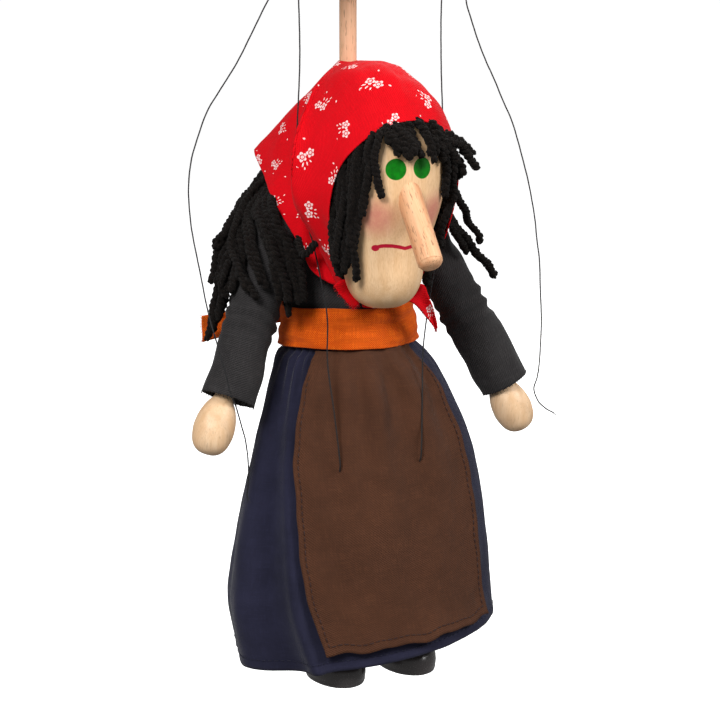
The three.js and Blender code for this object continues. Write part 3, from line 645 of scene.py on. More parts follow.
def paper_dome():
    """A white surround that only the camera sees, so that it adds no light to the puppet."""
    glow = bpy.data.materials.new("white_surround")
    glow.use_nodes = True
    glow.node_tree.nodes["Principled BSDF"].inputs["Base Color"].default_value = (0, 0, 0, 1)
    glow.node_tree.nodes["Principled BSDF"].inputs["Emission Color"].default_value = (1, 1, 1, 1)
    glow.node_tree.nodes["Principled BSDF"].inputs["Emission Strength"].default_value = 1.0
    profile = [(0, 0), (1500, 120), (2900, 1200), (3200, 3000), (2300, 4600), (0, 5400)]
    dome = made("surround", lathe(profile, (0, 0, -1500), (0, 0, 1), 48, 3), glow, None)
    dome.visible_diffuse = dome.visible_glossy = dome.visible_shadow = dome.visible_transmission = False
    return dome


# ---- strings ---------------------------------------------------------------------------------------

HAND_STRING_RIGHT = [
    (-43, 38, 342.4), (-47.5, 35.5, 333), (-54.5, 31, 320), (-61, 28, 306), (-67.5, 26, 293), (-75, 24, 281),
    (-80.5, 22, 271.5), (-84.5, 20, 259.5), (-87.2, 19, 249.5), (-88.2, 18, 237), (-87.5, 18, 223.5),
    (-86.4, 18.5, 214.5), (-85.2, 20, 205.5), (-84.3, 22, 197), (-83.4, 24, 188), (-82.6, 27, 179.5),
    (-80.7, 30.5, 168.5), (-78.1, 32.5, 157), (-75.6, 33, 146), (-72.8, 32.5, 139.5), (-70.2, 32, 131),
    (-68, 31.5, 123.5), (-66.8, 31.5, 114), (-66.7, 31.5, 105.5), (-67.3, 31, 97.5)]
HAND_STRING_LEFT = [
    (43, 38, 342.4), (43.5, 34, 331), (45.4, 30, 318), (49.5, 28, 308.5), (54.2, 26, 299), (59.6, 24, 289.5),
    (65.7, 22, 280), (70.8, 21, 270.5), (76.5, 20, 260.5), (80, 20, 251), (83.2, 20, 241), (86.1, 20, 231.5),
    (88.5, 20, 221.5), (90.4, 20, 212), (91.7, 20, 202), (93.3, 20, 192), (94.1, 20, 177.5), (95, 20, 163),
    (93.5, 22, 152), (90.5, 26, 143), (87, 30, 137), (84, 32, 132), (86, 32.5, 126), (90.5, 32, 121.7),
    (95.8, 31, 118.6)]
KNEE_STRING_RIGHT = [
    (-38, 25, 342.4), (-37, 25, 319), (-36.6, 25, 293), (-37, 23, 265), (-36, 19.5, 247), (-34, 19, 230),
    (-28.5, 21.5, 208), (-26, 26, 188), (-25.5, 29.5, 174.5), (-26, 30.5, 155), (-25, 35, 133),
    (-23.8, 38.4, 111), (-23.2, 37.2, 105), (-21.8, 33.6, 102), (-20, 28.4, 100)]
KNEE_STRING_LEFT = [
    (38, 25, 342.4), (36.8, 22.5, 318), (37.6, 21, 290), (40, 18.5, 265), (41, 18, 245), (40, 20, 225),
    (36, 23, 205), (29, 27, 180), (26, 29.5, 170), (23.5, 31, 155), (20.5, 36, 133), (17.8, 40.5, 111),
    (17.6, 39, 105), (18, 34.6, 102), (18.6, 28.4, 100)]


def plied(path, radius, pitch, plies=3, sides=6, step=0.6, ends=1.0, fuzz=None):
    """A twisted yarn or thread along a path: round plies winding about its middle line. `fuzz` makes
    its plies lumpy and their surface rough."""
    line = evenly(path, step)
    _, u, v = frames(line)
    run = np.arange(len(line)) * step
    taper = np.clip(np.minimum(run, run[-1] - run) / max(radius, 1e-6) + 0.35, 0, 1)
    taper = ends + (1 - ends) * taper if ends < 1 else np.ones(len(line))
    middle = radius * (0.42 if plies == 2 else 0.52)
    ply = radius * (0.62 if plies == 2 else 0.52)
    parts = []
    for k in range(plies):
        angle = 2 * math.pi * (run / pitch + k / plies)
        c, s = np.cos(angle)[:, None], np.sin(angle)[:, None]
        centre = line + (middle * taper)[:, None] * (c * u + s * v)
        lumps = 1.0
        if fuzz:
            lumps = 1 + 0.14 * np.sin(run * fuzz.uniform(0.7, 1.3) + fuzz.uniform(0, 6))
            lumps = lumps + 0.1 * np.sin(run * 2.9 + k)
        parts.append(tube(centre, ply * taper * lumps, sides))
    points, faces = merged(parts)
    if fuzz:
        rough = np.random.RandomState(fuzz.randrange(1 << 30))
        points = np.array(points) + rough.normal(0, 0.13, (len(points), 3))
    return points, faces


def length_of(path):
    return float(np.linalg.norm(np.diff(np.array(path), axis=0), axis=1).sum())


def bar_knot(top, chance):
    """Three turns of thread round a control bar, drawn into a small knot under it."""
    x, forward, _ = top
    half_deep, half_high, middle = 4.5 + 0.45, 3.0 + 0.45, BAR_UNDERSIDE + 3.0
    turns = []
    for angle in np.linspace(0.5 * math.pi, 6.5 * math.pi, 100):
        c, s = math.cos(angle), math.sin(angle)
        squared = [math.copysign(abs(value) ** 0.35, value) for value in (c, s)]
        turns.append((x + 0.85 * (angle / math.pi - 3.5) / 2 + chance.uniform(-0.04, 0.04),
                      forward + half_deep * squared[0], middle + half_high * squared[1]))
    knot = []
    for angle in np.linspace(0, 2 * math.pi, 60):
        wide = 0.75 + 0.35 * math.cos(3 * angle)
        knot.append((x + wide * math.cos(2 * angle), forward + wide * math.sin(2 * angle),
                     BAR_UNDERSIDE - 1.35 + 0.5 * math.sin(3 * angle)))
    return merged([plied(turns, STRING / 2, PLY_PITCH, 3, 6, 0.35),
                   plied(knot, STRING / 2, PLY_PITCH, 3, 6, 0.3)])


def frayed_end(tip, before, chance, reach=5.0, count=7):
    """Loose fibres that open from the cut end of a thread."""
    tip, before = np.array(tip, float), np.array(before, float)
    ahead = unit(tip - before)
    hairs = []
    for _ in range(count):
        away = np.array([chance.gauss(0, 0.28) for _ in range(3)])
        bend = np.array([chance.gauss(0, 0.2) for _ in range(3)])
        way = unit(ahead + away)
        far = reach * chance.uniform(0.5, 1.0)
        line = [tip - ahead * 0.6, tip + way * far * 0.4, tip + way * far * 0.7 + bend * 1.5,
                tip + way * far + bend * 3]
        hairs.append(tube(spline(line, 9), np.linspace(0.11, 0.04, 9), 5))
    return merged(hairs)


def strings():
    chance = random.Random(11)
    black = thread("string_thread", colour(20, 20, 21))
    for side in SIDES:
        routes = {"hand": HAND_STRING_RIGHT if side == "right" else HAND_STRING_LEFT,
                  "knee": KNEE_STRING_RIGHT if side == "right" else KNEE_STRING_LEFT}
        for kind, route in routes.items():
            path = evenly(spline(route, 400), 0.5)
            twist = plied(path, STRING / 2, PLY_PITCH, 3, 6, 0.5)
            piece = made(f"string_{kind}_{side}", twist, black, None, [f"{kind}_string_{side}"])
            knot = made(f"loop_{kind}_{side}", bar_knot(route[0], chance), black, "puppet",
                        [f"{kind}_knot_{side}"])
            if kind == "hand":
                tail = made(f"string_end_{side}", frayed_end(route[-1], route[-2], chance), black,
                            f"{side}_arm")
            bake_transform(piece)


# ---- wood ------------------------------------------------------------------------------------------

HEAD_AXIS = unit(np.array([HEAD["roll"], -math.sin(HEAD["tilt"]), math.cos(HEAD["tilt"])]))
HEAD_MIDDLE = np.array([0, HEAD["forward"], HEAD["height"]], float)
HEAD_PROFILE = [
    (0, 0), (7.2, 0.9), (13.3, 4.8), (17.2, 12), (18.9, 22.2), (20.8, 30.4), (24, 39.5), (27.2, 50.5),
    (29, 64.5), (28.2, 75.5), (25, 86.5), (19.5, 95.5), (11, 103.3), (0, HEAD["below"] + HEAD["above"])]


def head_clear(points, gap):
    """The points, moved out of the head where they are nearer to it than the gap."""
    points = np.array(points, float)
    origin = HEAD_MIDDLE - HEAD["below"] * HEAD_AXIS
    along = (points - origin) @ HEAD_AXIS
    spoke = points - origin - along[:, None] * HEAD_AXIS
    far = np.linalg.norm(spoke, axis=1)
    profile = np.array(HEAD_PROFILE)
    reach = np.interp(along, profile[:, 1], profile[:, 0], left=0, right=0) + gap
    push = np.maximum(reach - far, 0) * ((along > 0) & (along < profile[-1, 1]))
    return points + push[:, None] * spoke / np.maximum(far, 1e-6)[:, None]


def head_and_nose():
    origin = HEAD_MIDDLE - HEAD["below"] * HEAD_AXIS
    made("face", lathe(HEAD_PROFILE, origin, HEAD_AXIS, 128, 6), face_wood(), "puppet", ["head"])
    start, end = np.array(NOSE["start"], float), np.array(NOSE["end"], float)
    way = end - start
    length = float(np.linalg.norm(way))
    radius = NOSE["radius"]
    profile = [(0, 0), (0.9 * radius, 0), (radius, 0.6), (radius, length * 0.3), (radius, length * 0.6),
               (radius, length - 4.5), (0.95 * radius, length - 2.6), (0.78 * radius, length - 1.2),
               (0.45 * radius, length - 0.3), (0, length)]
    lean = math.atan2(way[1], -way[2])
    beech = wood("nose_wood", colour(240, 190, 146), colour(212, 146, 100), (-lean, 0, 0), 0.8, 0.5)
    made("dowel_nose", lathe(profile, start, way, 64, 4), beech, "puppet", ["nose"])


def rod_and_control():
    pale = wood("rod_wood", colour(234, 192, 156), colour(208, 158, 118), (0, 0, 0), 0.7, 0.5)
    top, foot = CONTROL_TOP - 4, 168
    long = top - foot
    profile = [(0, 0), (3.6, 0), (4, 0.4), (4, 60), (4, 120), (4, long - 0.4), (3.6, long), (0, long)]
    made("rod", lathe(profile, (0, 0, foot), (0, 0, 1), 48, 3), pale, "puppet", ["main_rod"])
    along_y = wood("beam_wood", colour(230, 194, 150), colour(200, 156, 112), (math.pi / 2, 0, 0), 0.5, 0.5)
    along_x = wood("bar_wood", colour(232, 198, 156), colour(204, 160, 116), (0, math.pi / 2, 0), 0.5, 0.5)
    refinish("control_beam", along_y, 0.7)
    refinish("knee_bar", along_x, 0.6)
    refinish("hand_bar", along_x, 0.6)
    brass = metal("screw_brass", colour(206, 170, 98), 0.32)
    steel = metal("pin_steel", colour(176, 178, 182), 0.35)
    for name in ("knee_bar_screw", "hand_bar_screw"):
        refinish(name, brass, 0.2)
    for name in [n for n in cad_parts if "_pin" in n]:
        refinish(name, steel, 0.15)


def refinish(name, material, edge):
    """Gives a CAD node its material and softly rounded edges."""
    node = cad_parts[name]
    node.data.materials.clear()
    node.data.materials.append(material)
    weld = node.modifiers.new("weld", "WELD")
    weld.merge_threshold = 0.01 * MM
    bevel = node.modifiers.new("edges", "BEVEL")
    bevel.width, bevel.segments = edge * MM, 3
    bevel.limit_method, bevel.angle_limit = "ANGLE", math.radians(40)


# A hand with its peg, as radius and distance from its lower end, and that end below the wrist.
EGG = [(0, 0), (3.2, 0.3), (6.1, 1.9), (8.2, 5), (9.4, 10), (9.4, 14), (8.7, 18.2), (7.0, 22.8),
       (4.8, 26.4), (4.1, 29), (4, 32), (3.6, 34.6), (0, 35)]
EGG_BELOW = 14


def body_wood():
    plain = wood("body_wood", colour(228, 190, 148), colour(196, 150, 108), (0, 0, 0), 0.4, 0.6)
    names = ["torso", "neck_peg", "arm_right", "arm_left", "thigh_right", "thigh_left", "shin_right",
             "shin_left"]
    for name in names:
        refinish(name, plain, 0.3)
    hand_wood = wood("hand_wood", colour(238, 204, 166), colour(220, 178, 134), (0.2, 0, 0), 0.25, 0.38)
    for side, facts in SIDES.items():
        shoulder, hand = arm_ends(facts)
        down = unit(hand - shoulder)
        made(f"egg_hand_{side}", lathe(EGG, hand + EGG_BELOW * down, -down, 72, 5), hand_wood,
             f"{side}_hand",
             [f"hand_{side}"])
        make_shoe(side, facts["sign"])


# A shoe from its sole up: height, half width, and reach to the toe and to the heel.
SHOE = [(0, 11.8, 17.8, 16.8), (0.5, 12.6, 18.8, 17.7), (1.6, 13.0, 19.2, 18.1), (2.3, 12.8, 19.0, 17.9),
        (2.9, 13.1, 19.4, 18.2), (5, 13.3, 19.6, 18.2), (7.5, 13.2, 19.2, 18), (10, 12.6, 17.6, 17.2),
        (12.5, 11.5, 15.3, 15.9), (14.8, 9.8, 12.4, 14.4), (16.7, 7.8, 9.4, 12.6), (18.1, 5.6, 6.6, 10.4),
        (18.7, 3.8, 4.4, 8.6)]
SHOE_SIDES = 72


def make_shoe(side, sign):
    """A domed wooden shoe with a flat sole and a shallow line round it."""
    rings = []
    for height, wide, front, back in SHOE:
        for angle in circle(SHOE_SIDES):
            deep = front if math.sin(angle) > 0 else back
            rings.append((sign * SHOE_MIDDLE[0] + wide * math.cos(angle),
                          SHOE_MIDDLE[1] + deep * math.sin(angle), height))
    faces = grid_faces(len(SHOE), SHOE_SIDES, wrap=True)
    last = (len(SHOE) - 1) * SHOE_SIDES
    faces += [tuple(range(SHOE_SIDES))[::-1], tuple(range(last, last + SHOE_SIDES))]
    made(f"satin_shoe_{side}", (rings, faces), painted(f"shoe_paint_{side}", colour(62, 57, 57), 0.24),
         f"{side}_shin", [f"shoe_{side}"])


# ---- clothes ---------------------------------------------------------------------------------------

# The skirt from waist to hem: height, half width, half depth, middle x, middle forward.
SKIRT = [
    (164, 31.4, 21.6, 0, 0), (157, 32.2, 22.4, 0, 0), (153.5, 36, 24, 0, 0.5), (143, 42.5, 25.8, 2, 2.5),
    (110, 55.5, 30.5, 4, 6), (74, 63.2, 37, 3.3, 7.3), (40, 67.2, 42.2, 2.3, 8), (15.5, 65.5, 46, 5, 9.5)]
SKIRT_LINE = spline(SKIRT, 200)[::-1]
HEM_TILT = 0.09
WAIST, GATHERS_END, HEM = 164, 152, 15.5
HEM_SEAM = 3.2
# Long folds of the skirt: angle in degrees, half width in degrees, and how far they stand out.
FOLDS = (
    (130, 4.5, 4.0), (144.5, 8, -4.2), (172, 10, 2.6), (196, 9, -1.8), (211, 8, 1.8), (228, 9, -1.6),
    (245, 8, 1.8), (262, 9, -1.5), (279, 8, 1.8), (296, 8, -1.6), (312, 8, 1.7), (330, 9, -1.4),
    (347, 8, 1.3), (3, 8, -0.9), (18, 8, 1.0), (33, 6, -0.8))


def skirt_level(height):
    return [np.interp(height, SKIRT_LINE[:, 0], SKIRT_LINE[:, k]) for k in range(1, 5)]


def skirt_folds(angle, height):
    """How far the cloth stands out: gathers under the waist that open into long folds to the hem."""
    drop = np.clip((GATHERS_END - height) / 140, 0, 1)
    near_waist = np.exp(-np.abs(GATHERS_END - height) / 12)
    uneven = 0.6 + 0.4 * np.sin(5 * angle + 1.0)
    phase = 31 * angle + 2.4 * np.sin(2 * angle + 1) + 1.7 * np.sin(5 * angle)
    gathers = 1.15 * uneven * np.sin(phase) * near_waist
    small = 0.3 * np.sin(19 * angle + 2 + np.sin(5 * angle) + 1.2 * drop)
    folds = 0 * angle + 0 * height
    for middle, half, size in FOLDS:
        beside_apron = 22 * (1 - drop) * (120 < middle < 150)
        away = (np.degrees(angle) - middle - beside_apron + 180) % 360 - 180
        folds = folds + size * np.exp(-((away / half) ** 2))
    return gathers + drop**0.5 * folds + drop * small


def under_apron(angle, height):
    """1 where the apron covers the skirt, easing to 0 beside it."""
    right, left = apron_edges(height)
    inside = np.minimum(angle - left, right - angle)
    return np.clip(inside / 0.12 + 0.5, 0, 1)


def skirt_surface(angle, height, out=0.0):
    """A place on the skirt, `out` beyond its resting line."""
    wide, deep, x, forward = skirt_level(height)
    tilt = HEM_TILT * wide * np.cos(angle) * np.clip((40 - height) / 24.5, 0, 1)
    across, ahead = x + (wide + out) * np.cos(angle), forward + (deep + out) * np.sin(angle)
    return np.stack([across, ahead, height + tilt], axis=-1)


APRON_RIGHT = [(153, 138), (143, 141), (110, 140.5), (74, 134.5), (40, 128), (24, 125)]
APRON_LEFT = [(153, 52), (143, 50), (110, 47), (74, 46), (40, 46), (24, 45)]
APRON_TOP = 158
APRON_BOTTOM = (21, 26)
# Pleats that fall from the sash: place across the apron, slant, half width, size, and length.
APRON_PLEATS = ((0.1, 0.0, 0.04, -2.2, 34), (0.24, 0.05, 0.07, 3.2, 52), (0.37, 0.06, 0.055, -6.0, 66),
                (0.5, 0.09, 0.065, 3.4, 50), (0.6, 0.06, 0.04, -2.6, 36), (0.69, 0.04, 0.05, 2.2, 34),
                (0.79, 0.04, 0.05, -3.2, 44), (0.9, 0.0, 0.05, 1.6, 40))


def apron_edges(height):
    """Angles of the apron's right and left edge at a height."""
    right, left = np.array(APRON_RIGHT[::-1], float), np.array(APRON_LEFT[::-1], float)
    return (np.radians(np.interp(height, right[:, 0], right[:, 1])),
            np.radians(np.interp(height, left[:, 0], left[:, 1])))


def wrinkles(grid, scale, size, seed, normal_out):
    """The grid, moved along `normal_out` by smooth noise; scale has one number for each axis."""
    flat = grid.reshape(-1, 3)
    places = flat * np.array(scale) + np.array([0, 0, seed])
    lift = [size * noise.noise(Vector(spot)) for spot in places]
    return grid + np.array(lift).reshape(grid.shape[:2])[..., None] * normal_out


def radial(grid, middle=(0.0, 0.0)):
    """Level directions out from an upright middle line."""
    out = grid - np.array([*middle, 0.0])
    out[..., 2] = 0
    return unit(out)


def stitches(name, path, out, material, body, length=2.3, gap=1.0, radius=0.22):
    """A running stitch along a path on cloth that faces `out`."""
    line = evenly(path, 0.5)
    directions = np.stack([np.interp(np.linspace(0, 1, len(line)), np.linspace(0, 1, len(out)), out[:, k])
                           for k in range(3)], axis=1)
    each = int((length + gap) / 0.5)
    bars = []
    for start in range(0, len(line) - each, each):
        part = line[start:start + int(length / 0.5) + 1]
        lift = np.sin(np.linspace(0, math.pi, len(part)))[:, None] * 0.16 + 0.04
        bars.append(tube(part + directions[start:start + len(part)] * lift, radius, 6))
    return made(name, merged(bars), material, body)


def fray(points, ways, chance, reach=2.2, count=1, radius=0.09):
    """Short loose threads from the points of a raw edge, each roughly along its own way."""
    hairs = []
    for point, way in zip(points, ways):
        for _ in range(count):
            aim = unit(np.array(way) + np.array([chance.gauss(0, 0.35) for _ in range(3)]))
            far = reach * chance.uniform(0.25, 1.0)
            side = np.array([chance.gauss(0, 0.25) for _ in range(3)]) * far
            line = spline([point - 0.4 * aim, point + 0.5 * far * aim, point + far * aim + side], 6)
            hairs.append(tube(line, np.linspace(radius, 0.5 * radius, 6), 4))
    return merged(hairs)


def skirt():
    navy = woven("skirt_cloth", colour(46, 46, 68), colour(27, 27, 42), 0.45, 0.1, False, 0.35, 0.12, 0.3)
    columns, rows = 300, 110
    angle = circle(columns)[None, :]
    height = np.linspace(WAIST, HEM, rows)[:, None]
    covered = under_apron(angle, height)
    fold = skirt_folds(angle, height)
    out = fold * (1 - 0.75 * covered) - 0.6 * covered
    grid = skirt_surface(angle + 0 * height, height + 0 * angle, out)
    grid = wrinkles(grid, (0.05, 0.05, 0.03), 0.9, 3.0, radial(grid))
    grid = wrinkles(grid, (0.16, 0.16, 0.1), 0.3, 9.0, radial(grid))
    grid[0] -= radial(grid)[0] * 0.6
    hem = np.clip((HEM + 3 - height) / 0.8, 0, 1)[..., None]
    grid = grid + radial(grid) * hem * 0.25
    piece = cloth("long_skirt", grid, navy, "puppet", 0.7, True, None, ["skirt"])
    row = int((1 - HEM_SEAM / (WAIST - HEM)) * (rows - 1))
    line = np.concatenate([grid[row], grid[row, :1]])
    seam = stitches("skirt_hem_stitches", line + radial(line[None])[0] * 0.1, radial(line[None])[0],
                    thread("navy_thread", colour(18, 19, 36)), "puppet", 2.4, 1.0, 0.2)


def apron():
    brown = woven("apron_cloth", colour(87, 54, 37), colour(68, 42, 29), 0.62, 0.16, True, 0.45, 0.05, 0.5)
    columns, rows = 110, 110
    share = np.linspace(0, 1, columns)[None, :]
    depth = np.linspace(0, 1, rows)[:, None]
    bottom = APRON_BOTTOM[1] + (APRON_BOTTOM[0] - APRON_BOTTOM[1]) * share
    bottom = bottom + 0.5 * np.sin(share * 21 + 1) + 0.35 * np.sin(share * 37)
    height = APRON_TOP + (bottom - APRON_TOP) * depth
    right, left = apron_edges(height)
    angle = left + (right - left) * share + 0.006 * np.sin(height * 0.11 + 1) + 0.004 * np.sin(height * 0.31)
    fall = APRON_TOP - height
    gathers = 0.9 * np.sin(share * 38 + 2.2 * np.sin(share * 7) + 0.02 * fall) * np.exp(-fall / 14)
    pleats = gathers * (0.6 + 0.5 * np.sin(share * 11 + 1))
    for where, slant, half, size, fade in APRON_PLEATS:
        away = (share - where - slant * depth) / (half * (1 + 1.2 * depth))
        length = np.exp(-(np.maximum(fall - 12, 0) / fade) ** 1.5)
        pleats = pleats + size * np.exp(-away**2) * length * np.clip((fall - 5) / 14, 0.2, 1)
    soft = 0.7 * np.sin(share * 9 + 2.4 + depth * 1.5) * depth
    edge = np.minimum(share, 1 - share) * 90
    lift = 1.3 * np.exp(-edge / 3.0) * np.clip(depth * 4, 0, 1) + 1.2 * np.exp(-(height - bottom) / 5.0)
    off = 1.1 + 2.4 * np.exp(-((fall / 66) ** 2)) * np.clip((fall - 5) / 14, 0, 1) + pleats + soft
    grid = skirt_surface(angle, height, 0.9 + 0.5 * (off + np.hypot(off, 1.9)) + lift)
    grid[..., 2] = height
    out = radial(grid, (0, -20))
    grid = wrinkles(grid, (0.06, 0.06, 0.06), 0.8, 21.0, out)
    grid = wrinkles(grid, (0.2, 0.2, 0.14), 0.35, 5.0, out)
    piece = cloth("gathered_apron", grid, brown, "puppet", 0.8, False, (0, 1, 0), ["apron"])
    inset_side, inset_bottom = 3, int(rows - 1 - 3.4 / 1.2)
    path = np.concatenate([grid[6:inset_bottom, inset_side],
                           grid[inset_bottom, inset_side:columns - inset_side],
                           grid[6:inset_bottom, columns - 1 - inset_side][::-1]])
    ways = np.concatenate([out[6:inset_bottom, inset_side],
                           out[inset_bottom, inset_side:columns - inset_side],
                           out[6:inset_bottom, columns - 1 - inset_side][::-1]])
    seam = stitches("apron_stitches", path + ways * 0.05, ways, thread("brown_thread", colour(40, 22, 18)),
                    "puppet", 2.1, 0.9, 0.26)


SASH = {"top": 177.2, "bottom": 158.5, "heights": (157, 163, 170, 177),
        "half_widths": (35.6, 34.8, 33.7, 32.4), "half_depths": (26.0, 25.4, 24.6, 23.8)}
# Each loose end: its middle line from the knot, and the seed of its creases.
SASH_ENDS = {"right": ([(-7, -30.5, 168), (-24, -32, 167.5), (-42, -31.5, 166), (-62.5, -30.5, 163.5)], 31),
             "left": ([(7, -30.5, 168), (18, -33, 163), (30, -34.5, 156), (41, -34, 149.5)], 57)}
SASH_END_HALF = 6.3


def sash():
    orange = woven("sash_cloth", colour(246, 106, 20), colour(212, 76, 8), 1.0, 0.4, False, 0.9, 0.05, 0.9)
    columns, rows = 240, 34
    angle = circle(columns)[None, :]
    share = np.linspace(0, 1, rows)[:, None]
    top = SASH["top"] + 0.5 * np.sin(3 * angle + 1)
    bottom = SASH["bottom"] + 0.8 * np.sin(2 * angle + 2.6)
    height = top + (bottom - top) * share
    wide = np.interp(height, SASH["heights"], SASH["half_widths"])
    deep = np.interp(height, SASH["heights"], SASH["half_depths"])
    crease = 0.45 * np.sin(share * 11 + 1.3 * np.sin(2 * angle + 1) + 0.6 * np.sin(5 * angle))
    overlap = 0.7 * np.clip((angle - 4.4) / 0.05, 0, 1) * np.clip((5.1 - angle) / 0.05, 0, 1)
    out = crease + overlap + 0.25 * np.cos(share * 2 * math.pi)
    across, ahead = (wide + out) * np.cos(angle), (deep + out) * np.sin(angle)
    grid = np.stack([across, ahead, height + 0 * angle], axis=-1)
    grid = wrinkles(grid, (0.08, 0.08, 0.3), 0.7, 14.0, radial(grid))
    piece = cloth("waist_sash", grid, orange, "puppet", 0.8, True, None, ["sash"])
    chance = random.Random(4)
    for side, (route, seed) in SASH_ENDS.items():
        sash_end(side, route, SASH_END_HALF, seed, orange, chance)
    knot = []
    for k, (x, z, turn) in enumerate(((-2.2, 169.2, 0.5), (2.4, 166.6, -0.6), (0.2, 168.4, 0.1))):
        behind = -32.5 - 0.6 * k
        line = spline([(x - 6, -28.5, z + 5 * turn - 1), (x - 2, behind, z + turn),
                       (x + 2, behind, z - turn),
                       (x + 6, -28.5, z - 5 * turn + 1)], 24)
        knot.append(tube(line, 2.1 + 0.5 * np.sin(np.linspace(0, math.pi, 24)), 18))
    tie = made("sash_tie", merged(knot), orange, "puppet", ["sash_knot"])
    flat_print(tie, tie.data.uv_layers.new(name="cloth"))


def flat_print(piece, layer):
    """Cloth coordinates for a bundled piece: its place seen from behind."""
    for loop in piece.data.loops:
        point = piece.data.vertices[loop.vertex_index].co
        layer.data[loop.index].uv = (point.x, point.z + 0.5 * point.y)


def sash_end(side, route, half, seed, material, chance):
    rows, columns = 60, 18
    line = spline(route, rows)
    fold = np.linspace(0, 1, rows)
    spread = np.interp(fold, (0, 0.25, 1), (0.45, 0.8, 1.0)) * half
    across = np.linspace(-1, 1, columns)
    grid = np.zeros((rows, columns, 3))
    for j, s in enumerate(across):
        grid[:, j] = line
        grid[:, j, 2] += s * spread
        grid[:, j, 1] += 0.9 * np.cos(s * 4.2 + fold * 2.0) * (1.1 - 0.6 * fold) + 0.5 * np.sin(fold * 9 + s)
    grid = wrinkles(grid, (0.15, 0.15, 0.2), 0.8, seed, np.array([0.0, 1.0, 0.0]))
    piece = cloth(f"sash_tail_{side}", grid, material, "puppet", 0.8, False, (0, -1, 0),
                  [f"sash_end_{side}"])
    ways = [unit(grid[-1, 0] - grid[-4, 0])] * 3 * columns
    threads_out = made(f"sash_fray_{side}", fray(grid[-1].repeat(3, axis=0), ways, chance, 1.6),
                       material, "puppet")
    threads_out.data.uv_layers.new(name="cloth")


# The blouse from waist to neck: height, half width, and depth in front and behind.
BLOUSE = [(165.5, 29.4, 20.6, 20.6), (176, 29.6, 21, 21), (181, 31.5, 20.8, 21.5), (190, 30, 17.5, 20),
          (199, 26.5, 16.5, 19.5), (208, 24.6, 14.5, 19), (215, 23, 11.8, 16), (221, 16, 8.6, 12)]


def blouse():
    black = woven("blouse_cloth", colour(56, 54, 54), colour(38, 36, 37), 0.62, 0.18, True, 0.55, 0.1, 0.7)
    rows, columns = 60, 180
    line = spline(BLOUSE, rows)
    angle = circle(columns)
    grid = np.zeros((rows, columns, 3))
    for i, (height, wide, front, back) in enumerate(line):
        deep = np.where(np.sin(angle) > 0, front, back)
        grid[i] = np.stack([wide * np.cos(angle), deep * np.sin(angle), height + 0 * angle], axis=-1)
    grid = wrinkles(grid, (0.1, 0.1, 0.05), 1.6, 40.0, radial(grid))
    grid = wrinkles(grid, (0.25, 0.25, 0.2), 0.5, 44.0, radial(grid))
    piece = cloth("black_blouse", grid, black, "puppet", 0.7, True, None, ["blouse"])
    for number, (side, facts) in enumerate(SIDES.items()):
        sleeve(side, facts, black, 60.0 + 7 * number)


# A sleeve's half widths across and ahead at distances along it from the shoulder's pivot. Its cuff
# hangs a little to the puppet's left of the arm.
SLEEVE = (
    (-9.6, 0.8, 0.8), (-9, 4.5, 4.5), (-7.2, 7.4, 7.2), (-3.6, 9.8, 9.4), (3, 10.8, 10), (20, 11.5, 10),
    (40, 12, 10.3), (60, 12.4, 10.8))
CUFF_DRIFT = 3.0


def sleeve(side, facts, black, seed):
    """A straight sleeve with pulled creases at the shoulder, a slack elbow and a raw cuff."""
    pivot, hand = arm_ends(facts)
    down = unit(hand - pivot)
    length = float(np.linalg.norm(hand - pivot)) - 12
    ahead = unit(np.array([0, 1.0, 0]) - down * down[1])
    aside = np.cross(ahead, down)
    sections = spline([(along, wide, deep) for along, wide, deep in SLEEVE] + [(length, 12.6, 11.2)], 110)
    angle = circle(96)
    c, s = np.cos(angle)[None, :, None], np.sin(angle)[None, :, None]
    grid = (pivot + sections[:, None, 0:1] * down + sections[:, None, 1:2] * c * aside
            + sections[:, None, 2:3] * s * ahead)
    out = unit(np.cos(angle)[:, None] * aside + np.sin(angle)[:, None] * ahead)[None]
    along = sections[:, 0][:, None]
    grid[..., 0] += CUFF_DRIFT * np.maximum(along / length, 0)
    fade = np.clip((along + 6) / 12, 0, 1)
    sway = 2.2 * np.sin(angle + seed)[None] + 0.8 * np.sin(2 * angle)[None]
    crease = 0.7 * np.sin(along * 0.33 + sway) * fade
    crease *= np.clip(1 - along / 55, 0.12, 1)
    elbow = 0.8 * np.exp(-((along - 42) / 9) ** 2) * np.sin(along * 0.9 + 3 * np.cos(angle - 1)[None])
    grid = grid + (crease + elbow)[..., None] * out
    grid = wrinkles(grid, (0.12, 0.12, 0.06), 1.1, seed, out)
    ragged = [0.35 * noise.noise(Vector((3 * math.cos(a) + seed, 3 * math.sin(a), 0)))
              for a in angle * 3]
    grid[-1] += np.array(ragged)[:, None] * down
    piece = cloth(f"black_sleeve_{side}", grid, black, f"{side}_arm", 0.7, True, None, [f"sleeve_{side}"])
    turn_out(piece, pivot, down)
    chance = random.Random(int(seed))
    picks = grid[-1][::2]
    loose = made(f"cuff_fray_{side}", fray(picks, [down] * len(picks), chance, 1.8, 2), black, f"{side}_arm")
    loose.data.uv_layers.new(name="cloth")


def turn_out(piece, start, way):
    """Faces of a slanted tube of cloth turned away from its own middle line."""
    origin, along = Vector(place(start)), Vector((way[0], -way[1], way[2]))
    total = 0.0
    for polygon in piece.data.polygons:
        spoke = polygon.center - origin
        total += polygon.normal.dot(spoke - along * spoke.dot(along))
    if total < 0:
        piece.data.flip_normals()


